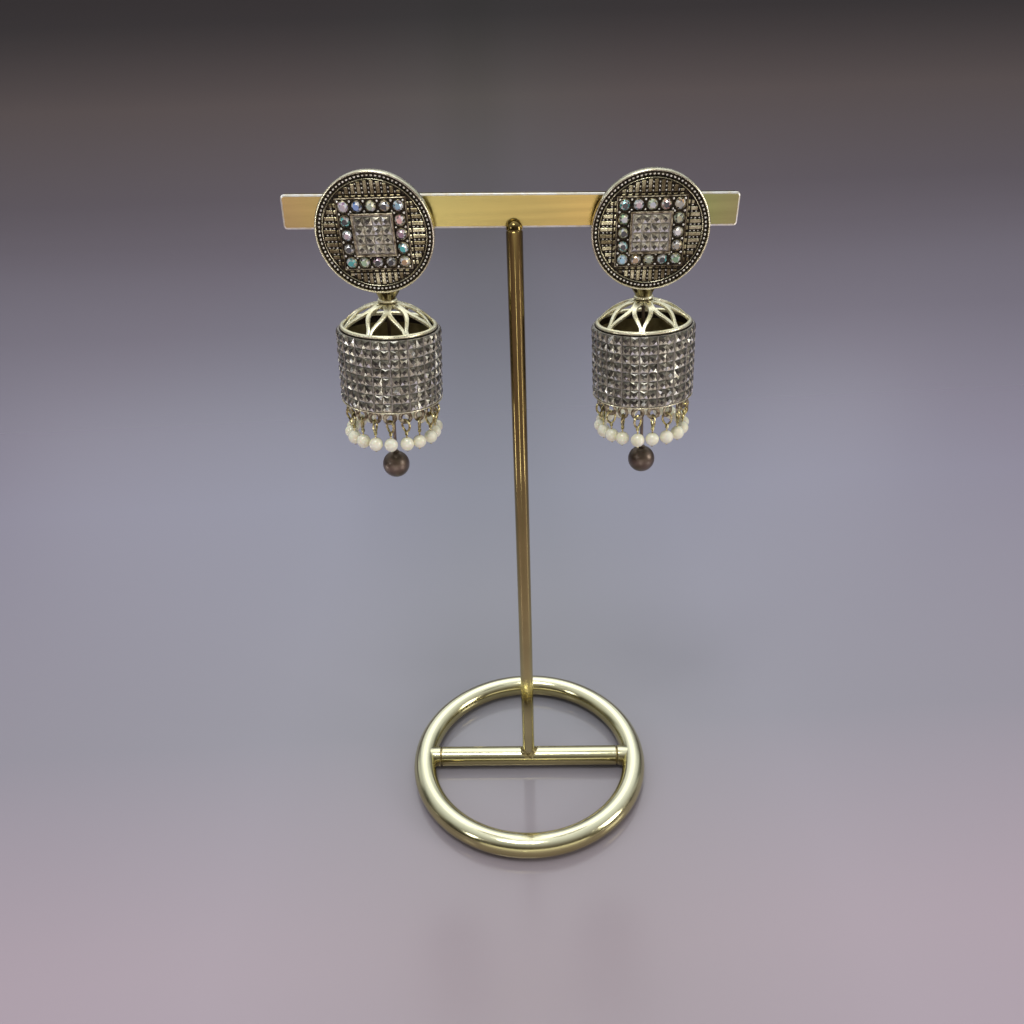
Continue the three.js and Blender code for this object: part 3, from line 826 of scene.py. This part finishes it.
def brilliant(radius, crown, table, tints):
    """A round stone: table, eight star facets, eight kites, sixteen girdle facets and a plain skirt."""
    main, second = tints

    def around(r, z, count, turn):
        angles = [2 * math.pi * (k + turn) / count for k in range(count)]
        return [(r * math.cos(a), r * math.sin(a), z) for a in angles]

    points = around(table, crown, 8, 0.0) + around((radius + table) * 0.52, crown * 0.62, 8, 0.5)
    points += around(radius, crown * 0.2, 16, 0.0) + around(radius, 0, 16, 0.0)
    faces = []
    colours = []

    # Each facet's brightness is a painted sparkle, and some facets take the painted glint or the painted
    # shade
    def facet(face, lightness):
        share = chance.choice((0.0, 0.2, 0.8, 1.0))
        mixed = [a * share + b * (1 - share) for a, b in zip(main, second)]
        mixed = chance.choice((mixed, mixed, mixed, PAINTED_GLINT, PAINTED_SHADE))
        faces.append(face)
        colours.append(tuple(min(c * lightness, BRIGHTEST) for c in mixed))

    facet(tuple(range(8)), chance.uniform(0.75, 1.3))
    for k in range(8):
        j = (k + 1) % 8
        facet((k, 8 + k, j), chance.uniform(0.5, 1.8))
        facet((k, 8 + (k - 1) % 8, 16 + 2 * k, 8 + k), chance.uniform(0.4, 1.9))
        facet((8 + k, 16 + 2 * k, 16 + 2 * k + 1), chance.uniform(0.5, 2.2))
        facet((8 + k, 16 + 2 * k + 1, 16 + (2 * k + 2) % 16), chance.uniform(0.5, 2.2))
    for k in range(16):
        j = (k + 1) % 16
        facet((16 + k, 32 + k, 32 + j, 16 + j), 0.7)
    facet(tuple(range(47, 31, -1)), 0.5)
    shape = Shape().add(points, faces)
    shape.tints = colours
    return shape


# Painted reflection: how light each facet of a square stone is, from its lower side round to its left one,
# lightest on the lower side
BAND_PAINTED_LIGHTS = {"table": (0.4, 0.15, 0.1, 0.22), "edge": (4.0, 1.0, 0.45, 1.0),
               "corner": (2.4, 0.6, 0.5, 2.4)}
PANEL_PAINTED_LIGHTS = {"table": (0.35, 0.14, 0.12, 0.25), "edge": (2.4, 1.3, 1.1, 1.8),
                "corner": (2.0, 1.0, 0.9, 2.0)}
STONE_WARMTH = (1.0, 0.95, 0.72)
STONE_BRIGHTEST = 0.97
STONE_SPREADS = [("table", 0.5, 1.9), ("edge", 0.3, 1.8), ("edge", 0.3, 1.8), ("corner", 0.3, 1.7)]
STONE_SIDE_LEVEL = 1.1
STONE_BACK_LEVEL = 0.3
STONE_WAIST = 0.3
STONE_TABLE = 0.6


def square_stone(width, height, rise, grey, lights):
    """A square stone with a table turned by an eighth, four corner facets and four pairs along its edges.
    Its tints are painted reflections, lightest on its lower facets, with a painted glint on one facet of
    some stones."""
    x = width / 2
    y = height / 2
    waist = rise * STONE_WAIST
    t = STONE_TABLE
    corners = [(-x, -y), (x, -y), (x, y), (-x, y)]
    points = [(px, py, 0) for px, py in corners] + [(px, py, waist) for px, py in corners]
    points += [(0, -y * t, rise), (x * t, 0, rise), (0, y * t, rise), (-x * t, 0, rise), (0, 0, rise)]
    points += [(0, -y, waist), (x, 0, waist), (0, y, waist), (-x, 0, waist)]
    faces = []
    levels = []
    for k in range(4):
        j = (k + 1) % 4
        faces += [(8 + k, 8 + j, 12), (4 + k, 13 + k, 8 + k), (13 + k, 4 + j, 8 + k), (4 + j, 8 + j, 8 + k),
                  (k, j, 4 + j, 13 + k, 4 + k)]
        levels += [lights[kind][k] * chance.uniform(least, most) for kind, least, most in STONE_SPREADS]
        levels.append(STONE_SIDE_LEVEL)
    faces.append((3, 2, 1, 0))
    levels.append(STONE_BACK_LEVEL)
    shape = Shape().add(points, faces)
    glow = grey * chance.uniform(0.75, 1.25)
    # A painted glint on one facet of some stones
    spark = chance.randrange(len(levels))
    levels[spark] *= chance.choice((1, 1, 5, 10))
    shape.tints = [tuple(min(level * glow * part, STONE_BRIGHTEST) for part in STONE_WARMTH)
                   for level in levels]
    return shape


def slight_turn(most):
    """A seeded lean about X and Y, up to an angle each way."""
    about_x = spin(chance.uniform(-most, most), "X")
    return about_x @ spin(chance.uniform(-most, most), "Y")


def border_places():
    """The places of the round stones from the top left corner, clockwise."""
    m = (ROUND_PER_SIDE - 1) // 2
    span = range(-m, m + 1)
    top = [(i, m) for i in span]
    right = [(m, -i) for i in span][1:]
    bottom = [(-i, -m) for i in span][1:]
    left = [(-m, i) for i in span][1:-1]
    return [(i * ROUND_PITCH, j * ROUND_PITCH) for i, j in top + right + bottom + left]


def border(side, upright):
    outer = BORDER_HALF - FRAME_WALL
    inner = PANEL_HALF
    foot = SETTING_FOOT - SETTING_DEPTH
    top = SETTING_TOP
    setting = square_ring([(outer, foot), (outer, top - 0.1), (inner, top - 0.1), (inner, foot)], DARK)
    stones = Shape()
    wall = ROUND_RADIUS + CUP_OUTSIDE
    lip = ROUND_RADIUS + CUP_INSIDE
    shoulder = top + CUP_RISE - 0.1
    cup = turned([(wall, SETTING_FOOT), (wall, shoulder), (ROUND_RADIUS + 0.08, top + CUP_RISE),
                  (lip, shoulder), (lip, SETTING_FOOT)], 32, ring=True)
    for (x, y), tint in zip(border_places(), BORDER_TINTS[side]):
        setting.join(cup, shift(x, y, 0))
        stone = brilliant(ROUND_RADIUS, ROUND_CROWN, ROUND_TABLE, RAINBOW_TINTS[tint])
        stones.join(stone, shift(x, y, top) @ spin(chance.uniform(0, 0.8)))
    half_lane = (outer - inner) / 2 - 0.32
    lane = ROUND_PITCH * (ROUND_PER_SIDE - 1) / 2
    corner = lane + half_lane
    spots = [((k + 0.5) * ROUND_PITCH - lane, lane + across)
             for k in range(ROUND_PER_SIDE - 1) for across in (-half_lane, half_lane)]
    for quarter in range(4):
        turn = spin(quarter * math.pi / 2)
        for x, y in spots + [(corner, corner)]:
            setting.join(granule(BORDER_GRANULE_RADIUS, BEADS), turn @ shift(x, y, top - SUNK))
    piece(f"{side}_border_setting", setting, ANTIQUE, "stand", upright)
    piece(f"{side}_border_jewels", stones, RAINBOW, "stand", upright, sharp=2,
          stands_for=[f"{side}_border_stones"])


def panel(side, upright):
    stones = Shape()
    middle = (SQUARE_PER_SIDE - 1) / 2
    size = SQUARE_PITCH - SQUARE_GAP
    for i in range(SQUARE_PER_SIDE):
        for j in range(SQUARE_PER_SIDE):
            stone = square_stone(size, size, SQUARE_CROWN, PANEL_STONE_GREY, PANEL_PAINTED_LIGHTS)
            place = shift((i - middle) * SQUARE_PITCH, (j - middle) * SQUARE_PITCH, SQUARE_FOOT)
            stones.join(stone, place @ slight_turn(0.05))
    inner = PANEL_HALF - FRAME_WALL
    half = inner + 0.02
    low = SQUARE_FOOT - 0.2
    high = SQUARE_FOOT + 0.2
    ground = raised_bar(2 * half, -half, half, SETTING_FOOT - SETTING_DEPTH, SQUARE_FOOT, 0.05)
    wall = inner - FRAME_WALL
    ground.join(square_ring([(inner, low), (inner, high), (wall, high), (wall, low)], BRONZE))
    piece(f"{side}_panel_ground", ground, NET, "stand", upright)
    piece(f"{side}_panel_jewels", stones, CRYSTAL, "stand", upright, sharp=2,
          stands_for=[f"{side}_panel_stones"])


def ear_nut(side, upright):
    near = -NUT_START
    far = near - NUT_LENGTH
    r = NUT_RADIUS
    profile = [(NUT_BORE, near), (r - 0.2, near), (r, near - 0.2), (r, near - 0.6),
               (r - 0.25, near - 0.8), (1.7, near - 0.9)]
    for k in range(NUT_RIDGES):
        z = near - 1.15 - k * NUT_RIDGE_PITCH
        profile += [(1.62, z), (1.8, z - 0.12), (1.8, z - 0.26), (1.62, z - 0.38)]
    profile += [(1.5, far + 0.5), (1.15, far + 0.1), (0.8, far), (NUT_BORE, far)]
    piece(f"{side}_nut", turned(profile, 48, ring=True), PALE, "stand",
          upright @ shift(0, EAR_POST_ABOVE, 0), stands_for=[f"{side}_ear_nut"])


# Dome

DOME_RISE = RIM_DROP - HUB_DROP
DOME_DEPTH = (RIM_RADIUS ** 2 - HUB_RADIUS ** 2 - DOME_RISE ** 2) / (2 * DOME_RISE)
DOME_SPHERE = math.hypot(RIM_RADIUS, DOME_DEPTH)


def on_dome(x, y):
    return Vector((x, y, math.sqrt(DOME_SPHERE ** 2 - x * x - y * y) - DOME_DEPTH - RIM_DROP))


def hole_half_width(radius):
    share = min(max((radius - HOLE_START) / (HOLE_END - HOLE_START), 0), 1)
    return HOLE_HALF_WIDTH * math.sin(math.pi * share ** 0.85)


def petal_strip(mirror):
    """One side of a petal, a strip that bows out from the hub and comes back in at the rim."""
    path = []
    ups = []
    widths = []
    centre = Vector((0, 0, -RIM_DROP - DOME_DEPTH))
    for k in range(STRIP_STEPS + 1):
        radius = STRIP_START + (RIM_RADIUS - 0.15 - STRIP_START) * k / STRIP_STEPS
        width = STRIP_WIDTH * (1 - 0.35 * max(radius - 6, 0) / 4.5)
        if radius < STRIP_FULL_RADIUS:
            width *= 0.62 + 0.38 * (radius - STRIP_START) / (STRIP_FULL_RADIUS - STRIP_START)
        point = on_dome(radius, mirror * (hole_half_width(radius) + width / 2))
        path.append(point)
        ups.append((point - centre).normalized())
        widths.append(width / STRIP_WIDTH)
    return swept(path, ups, rounded_section(STRIP_WIDTH, STRIP_THICKNESS, 0.09), widths)


def petals(turn):
    shape = Shape()
    for k in range(PETAL_COUNT):
        place = spin(k * 2 * math.pi / PETAL_COUNT + turn - math.pi / 2)
        for mirror in (-1, 1):
            shape.join(petal_strip(mirror), place)
    return shape


def rim():
    """The dome's rolled rim and the dark skirt that reaches into the band."""
    outline = [(RIM_RADIUS + x, z * 0.92 - RIM_DROP) for x, z in circle(RIM_WIRE, 16)]
    shape = turned(outline, 120, ring=True)
    top = -RIM_DROP - 0.1
    foot = BAND_TOP - SKIRT_DEPTH
    step = BAND_TOP + 0.05
    out = RIM_RADIUS + 0.2
    wide = SLEEVE_INSIDE + 0.02
    skirt = [(out, top), (out, step), (wide, step), (wide, foot), (SLEEVE_INSIDE - 0.18, foot),
             (out - 0.25, BAND_TOP - 0.2), (out - 0.25, top)]
    return shape.join(turned(skirt, 96, DARK, ring=True))


def funnel():
    """A fluted cup over the collar, open at the top, with its floor inside."""
    rise = COLLAR_DROP - FUNNEL_TOP
    steps = [(0.08, NECK_RADIUS, 0), (0.22, NECK_RADIUS + 0.03, 0.02), (0.42, 2.12, 0.05),
             (0.6, 2.36, 0.07), (0.78, 2.6, 0.08), (0.92, 2.74, 0.08), (0.99, 2.78, 0.08)]
    outside = [(radius, share * rise - COLLAR_DROP, depth) for share, radius, depth in steps]
    inside = [(2.62, -FUNNEL_TOP, 0.08), (2.4, -FUNNEL_TOP - 0.5, 0.07), (2.0, -FUNNEL_TOP - 1.2, 0.05),
              (1.6, -FUNNEL_FLOOR, 0), (0, -FUNNEL_FLOOR, 0)]
    loops = []
    for radius, z, depth in outside + inside:
        loop = []
        for k in range(FUNNEL_SIDES):
            a = 2 * math.pi * k / FUNNEL_SIDES
            r = radius * (1 + depth * 0.6 * math.cos(FUNNEL_FLUTES * a))
            loop.append((r * math.cos(a), r * math.sin(a), z))
        loops.append(loop)
    return lofted(loops, CUP, capped=False)


def collar_and_hub():
    """The rolled collar, the dark neck under it and the hub that the petals spring from."""
    low = -HUB_DROP - HUB_THICKNESS
    neck = (NECK_RADIUS - 0.1, -COLLAR_DROP - 0.3)
    hub = [(0, low), (HUB_RADIUS - 0.7, low), (HUB_RADIUS - 0.1, low + 0.3), (HUB_RADIUS, low + 0.5),
           (HUB_RADIUS - 0.1, low + 0.75), (2.1, -HUB_DROP + 0.2), neck]
    collar = [neck]
    for k in range(9):
        a = math.pi * (k / 8 - 0.5)
        collar.append((NECK_RADIUS + (COLLAR_RADIUS - NECK_RADIUS) * math.cos(a),
                       COLLAR_HALF_HEIGHT * math.sin(a) - COLLAR_DROP))
    collar += [(NECK_RADIUS - 0.2, -COLLAR_DROP + 0.45), (0, -COLLAR_DROP + 0.45)]
    return turned(hub, 72, BRONZE).join(turned(collar, 72))


def loop_and_stem():
    shape = Shape().join(torus(LOOP_RADIUS, LOOP_WIRE, 40, 14, CUP), spin(math.pi / 2, "X"))
    return shape.join(rod(LOOP_WIRE * 1.2, -FUNNEL_FLOOR - 0.1, -LOOP_RADIUS - 0.1, 16, CUP))


def dome(side, drop, turn):
    shape = petals(turn)
    for part in (rim(), collar_and_hub(), funnel(), loop_and_stem()):
        shape.join(part)
    piece(f"{side}_dome_filigree", shape, PALE, f"{side}_drop", drop, sharp=50,
          stands_for=[f"{side}_dome"])


# Crystal band

def sleeve():
    """The band's inner tube with a narrow ledge under the stones and a floor that the lugs hang from."""
    edge = BAND_RADIUS - 0.12
    ledge = BAND_BOTTOM + BAND_EDGE
    floor_edge = FRINGE_RADIUS - 0.7
    outline = [(SLEEVE_INSIDE, STONES_TOP), (SLEEVE_RADIUS, STONES_TOP), (SLEEVE_RADIUS, ledge),
               (edge, ledge), (edge, BAND_BOTTOM), (floor_edge, BAND_BOTTOM),
               (floor_edge, BAND_BOTTOM + 0.3), (SLEEVE_INSIDE, BAND_BOTTOM + 0.3)]
    shape = turned(outline, 144, ring=True)
    for index, face in enumerate(shape.faces):
        middle = shape.middle(face)
        reach = math.hypot(middle.x, middle.y)
        if middle.z > STONES_TOP - 0.05 or abs(reach - SLEEVE_RADIUS) < 0.1:
            shape.looks[index] = NET
        elif reach < SLEEVE_INSIDE + 0.1:
            shape.looks[index] = INSIDE
    return shape


def lugs(turn):
    shape = Shape()
    angles = [math.pi * k / 12 for k in range(13)]
    path = [Vector((LUG_RADIUS * math.cos(a), 0, -LUG_RADIUS * math.sin(a) * 1.45)) for a in angles]
    loop = swept(path, [Vector((0, 1, 0))] * len(path), circle(LUG_WIRE, 10), look=WIRE)
    for k in range(PEARL_COUNT):
        shape.join(loop, spin(pearl_angle(k) + turn) @ shift(FRINGE_RADIUS, 0, BAND_BOTTOM + SUNK))
    return shape


def band_stones():
    """Rows of small square stones, their columns set in pairs."""
    shape = Shape()
    height = (STONES_TOP - BAND_BOTTOM - BAND_EDGE) / BAND_ROWS
    width = 2 * math.pi * SLEEVE_RADIUS / BAND_COLUMNS
    size = (width - COLUMN_GAP, height - ROW_GAP, STONE_RISE)
    for column in range(BAND_COLUMNS):
        toward_pair = -PAIR_SHIFT if column % 2 else PAIR_SHIFT
        angle = 2 * math.pi * (column + 0.5 + toward_pair) / BAND_COLUMNS
        for row in range(BAND_ROWS):
            z = BAND_BOTTOM + BAND_EDGE + (row + 0.5) * height
            stone = square_stone(*size, BAND_STONE_GREY, BAND_PAINTED_LIGHTS)
            stand = spin(angle) @ shift(SLEEVE_RADIUS - 0.02, 0, z)
            stand = stand @ spin(math.pi / 2) @ spin(math.pi / 2, "X")
            shape.join(stone, stand @ slight_turn(0.1))
    return shape


def band_seams():
    """Thin raised cords of the net after every second column."""
    shape = Shape()
    cord = rod(CORD_RADIUS, BAND_BOTTOM + BAND_EDGE, STONES_TOP, 8, NET)
    for column in range(0, BAND_COLUMNS, 2):
        angle = 2 * math.pi * column / BAND_COLUMNS
        shape.join(cord, spin(angle) @ shift(SLEEVE_RADIUS + CORD_OUT, 0, 0))
    return shape


def band(side, drop, turn):
    shape = sleeve().join(lugs(turn)).join(band_seams())
    piece(f"{side}_band_sleeve", shape, PALE, f"{side}_drop", drop)
    piece(f"{side}_band_jewels", band_stones(), CRYSTAL, f"{side}_drop", drop, sharp=2,
          stands_for=[f"{side}_crystal_band"])


# Fringe and centre drop

def pearl_angle(k):
    return k * 2 * math.pi / PEARL_COUNT - math.pi / 2


def washer():
    """A flat ring with rounded edges, about Z."""
    middle = (WASHER_OUTER + WASHER_INNER) / 2
    half = (WASHER_OUTER - WASHER_INNER) / 2
    profile = [(middle + x, y * WASHER_FLATTENING) for x, y in circle(half, 12)]
    return turned(profile, 32, BRONZE, ring=True)


def wire_eye():
    """A long loop of wire bent from the pin's end, with turns closed round the pin under it."""
    path = []
    for x, z in circle(1, 28):
        pinch = 1 - 0.45 * max(-z, 0) ** 2
        path.append(Vector((x * EYE_HALF_WIDTH * pinch, 0, (z - 1) * EYE_LENGTH / 2 + EYE_TOP)))
    shape = swept(path, [Vector((0, 1, 0))] * len(path), circle(EYE_WIRE, 8), ring=True)
    for k in range(WRAP_TURNS):
        turn = shift(0, 0, EYE_TOP - EYE_LENGTH - 0.12 - WRAP_PITCH * k) @ spin(0.14, "X")
        shape.join(torus(0.26, 0.15, 14, 6), turn)
    return shape


def fringe(side, drop, turn):
    beads = Shape()
    wires = Shape()
    foot = 0.2 - RING_RADIUS
    drop_length = PEARL_DROP - RING_DROP + foot
    for k in range(PEARL_COUNT):
        spot = spin(pearl_angle(k) + turn) @ shift(FRINGE_RADIUS, 0, -RING_DROP)
        twist = spin(chance.uniform(-0.35, 0.35))
        wires.join(washer(), spot @ twist @ spin(math.pi / 2, "Y"))
        sway = spin(chance.uniform(-0.03, 0.045), "Y") @ spin(chance.uniform(-0.045, 0.045), "X")
        hang = spot @ shift(0, 0, foot) @ sway
        wires.join(wire_eye(), hang @ spin(chance.uniform(-0.9, 0.9)))
        wires.join(rod(PIN_RADIUS, -drop_length - PEARL_RADIUS - 0.1, EYE_TOP - EYE_LENGTH, 10), hang)
        wires.join(ball(PIN_END_RADIUS, 12, 8), hang @ shift(0, 0, -drop_length - PEARL_RADIUS - 0.02))
        size = PEARL_RADIUS * chance.uniform(0.96, 1.0)
        stretch = Matrix.Diagonal((1, 1, chance.uniform(0.97, 1.03), 1))
        beads.join(ball(size), hang @ shift(0, 0, -drop_length) @ stretch)
    piece(f"{side}_fringe_wires", wires, WIRE, f"{side}_drop", drop)
    piece(f"{side}_fringe_pearls", beads, PEARL, f"{side}_drop", drop,
          stands_for=[f"{side}_pearl_{k + 1:02d}" for k in range(PEARL_COUNT)])


def centre_drop(side, drop):
    shape = Shape().join(ball(BALL_RADIUS, 64, 36), shift(0, 0, -BALL_DROP))
    shape.join(rod(BALL_PIN_RADIUS, -BALL_DROP, -HUB_DROP - HUB_THICKNESS + 0.3, 16))
    collar = turned([(0.4, 0), (0.75, 0.05), (0.85, 0.3), (0.7, 0.5), (0.4, 0.55)], 24, ring=True)
    shape.join(collar, shift(0, 0, -BALL_DROP + BALL_RADIUS - 0.12))
    piece(f"{side}_centre_ball", shape, GUNMETAL, f"{side}_drop", drop,
          stands_for=[f"{side}_centre_drop"])


def earring(side):
    facts = EARRINGS[side]
    pivot = shift(*facts["pivot"]) @ spin(-STUD_TURN)
    upright = pivot @ Matrix.Translation(DISC_FROM_PIVOT) @ spin(math.pi / 2 + DISC_LEAN, "X")
    drop = pivot @ spin(facts["turn"] * DEGREE, "Y")
    stud(side, upright, pivot)
    border(side, upright)
    panel(side, upright)
    ear_nut(side, upright)
    dome(side, drop, facts["petals"] * DEGREE)
    band(side, drop, facts["fringe"] * DEGREE)
    fringe(side, drop, facts["fringe"] * DEGREE)
    centre_drop(side, drop)


# Floor, light and camera

FLOOR_REACH = 3000
FLOOR_BEND_Y = 900
FLOOR_BEND_RADIUS = 700
FLOOR_BEND_STEPS = 9
FLOOR_BEND_STEP = 7.5 * DEGREE

SKY_STRENGTH = 1.33
SKY_MIDDLE = (0, 0.5, 0.866)
SKY_STOPS = [(0.0, (0.10, 0.09, 0.08)), (0.2, (0.19, 0.18, 0.18)), (0.45, (0.34, 0.35, 0.36)),
             (0.7, (0.50, 0.52, 0.54)), (0.88, (0.62, 0.65, 0.67)), (0.96, (1.05, 1.07, 1.07)),
             (1.0, (1.35, 1.36, 1.34))]

# Name, place, target, width and height, power in watts, colour
LIGHTS = [
    ("key", (-0.08, -0.2, 0.72), (0, 0, 0.08), (0.22, 0.16), 1.2, (1, 1, 1)),
    ("spark_left", (-0.7, -0.5, 0.5), (0, 0, 0.1), (0.12, 0.2), 0.5, (0.95, 0.96, 1.0)),
    ("spark_right", (0.75, -0.3, 0.35), (0, 0, 0.12), (0.25, 0.3), 1.6, (1.0, 0.98, 0.95)),
    ("room_front", (0, -0.9, 0.08), (0, 0, 0.14), (1.7, 0.34), 1.5, (1.0, 0.96, 0.9)),
]
# Narrow lights that lie on the floor and face up, for the stripes in the post's plating
STRIP_TURNS = (-84, -8, 56)
STRIP_DISTANCE = 0.5
STRIP_HEIGHT = 0.003
STRIP_SIZE = (0.024, 0.6)
STRIP_POWER = 0.36

CAMERA_PLACE = Vector((-8.43, -167.59, 181.67)) * MM
CAMERA_PITCH = 0.504
CAMERA_YAW = 0.035
CAMERA_ROLL = -0.035
CAMERA_LENS = 26.62


def floor():
    """A pale board that curves up far behind the stand."""
    outline = [(-FLOOR_REACH, 0), (FLOOR_BEND_Y, 0)]
    for k in range(1, FLOOR_BEND_STEPS + 1):
        a = k * FLOOR_BEND_STEP
        rise = FLOOR_BEND_RADIUS * (1 - math.cos(a))
        outline.append((FLOOR_BEND_Y + FLOOR_BEND_RADIUS * math.sin(a), rise))
    loops = [[(-FLOOR_REACH, y, z), (FLOOR_REACH, y, z)] for y, z in outline]
    shape = lofted(loops, around=False, capped=False)
    mesh = bpy.data.meshes.new("floor")
    mesh.from_pydata([tuple(p * MM) for p in shape.points], [], [face[::-1] for face in shape.faces])
    mesh.materials.append(floor_finish())
    mesh.polygons.foreach_set("use_smooth", [True] * len(mesh.polygons))
    made = bpy.data.objects.new("floor", mesh)
    bpy.context.scene.collection.objects.link(made)


def area_light(name, place, target, size, power, colour=(1, 1, 1)):
    light = bpy.data.lights.new(name, "AREA")
    light.shape = "RECTANGLE"
    light.size = size[0]
    light.size_y = size[1]
    light.energy = power
    light.color = colour
    made = bpy.data.objects.new(name, light)
    made.location = place
    aim = Vector(target) - Vector(place)
    made.rotation_euler = aim.to_track_quat("-Z", "Y").to_euler()
    made.visible_camera = False
    bpy.context.scene.collection.objects.link(made)
    return made


def lights():
    for facts in LIGHTS:
        area_light(*facts)
    for turn in STRIP_TURNS:
        a = turn * DEGREE
        middle = Vector((STRIP_DISTANCE * math.sin(a), -STRIP_DISTANCE * math.cos(a), STRIP_HEIGHT))
        above = middle + Vector((0, 0, 1))
        strip = area_light(f"strip_{turn + 90}", middle, above, STRIP_SIZE, STRIP_POWER)
        strip.rotation_euler = (math.pi, 0, a)


def sky():
    """A soft light above and behind, broken low down by the darker and paler places of a room."""
    world = bpy.data.worlds.new("studio")
    bpy.context.scene.world = world
    n = Nodes(world, "Background", "Generated")
    toward = n.node("ShaderNodeVectorMath")
    toward.operation = "DOT_PRODUCT"
    toward.inputs[1].default_value = SKY_MIDDLE
    n.link(n.place(), toward.inputs[0])
    height = n.ramp(toward.outputs["Value"], SKY_STOPS)
    room = n.ramp(n.noise(3.2, 1.0, (1, 1, 0.3)), [(0.42, 0.3), (0.58, 1.0)])
    low = n.ramp(n.axes()["Z"], [(0.35, 1.0), (0.65, 0.0)])
    n.set(Color=n.mix(height, room, low, "MULTIPLY"), Strength=SKY_STRENGTH)


def camera():
    cp = math.cos(CAMERA_PITCH)
    forward = Vector((math.sin(CAMERA_YAW) * cp, math.cos(CAMERA_YAW) * cp, -math.sin(CAMERA_PITCH)))
    level = Vector((math.cos(CAMERA_YAW), -math.sin(CAMERA_YAW), 0))
    above = level.cross(forward)
    right = math.cos(CAMERA_ROLL) * level + math.sin(CAMERA_ROLL) * above
    up = -math.sin(CAMERA_ROLL) * level + math.cos(CAMERA_ROLL) * above
    data = bpy.data.cameras.new("camera")
    data.lens = CAMERA_LENS
    data.sensor_width = 36
    data.clip_start = 0.002
    made = bpy.data.objects.new("camera", data)
    turn = Matrix((right, up, -forward)).transposed().to_4x4()
    made.matrix_world = Matrix.Translation(CAMERA_PLACE) @ turn
    bpy.context.scene.collection.objects.link(made)
    bpy.context.scene.camera = made


stand_base()
stand_upright()
for side_name in EARRINGS:
    earring(side_name)
floor()
sky()
lights()
camera()
bpy.context.scene.view_settings.view_transform = "Standard"
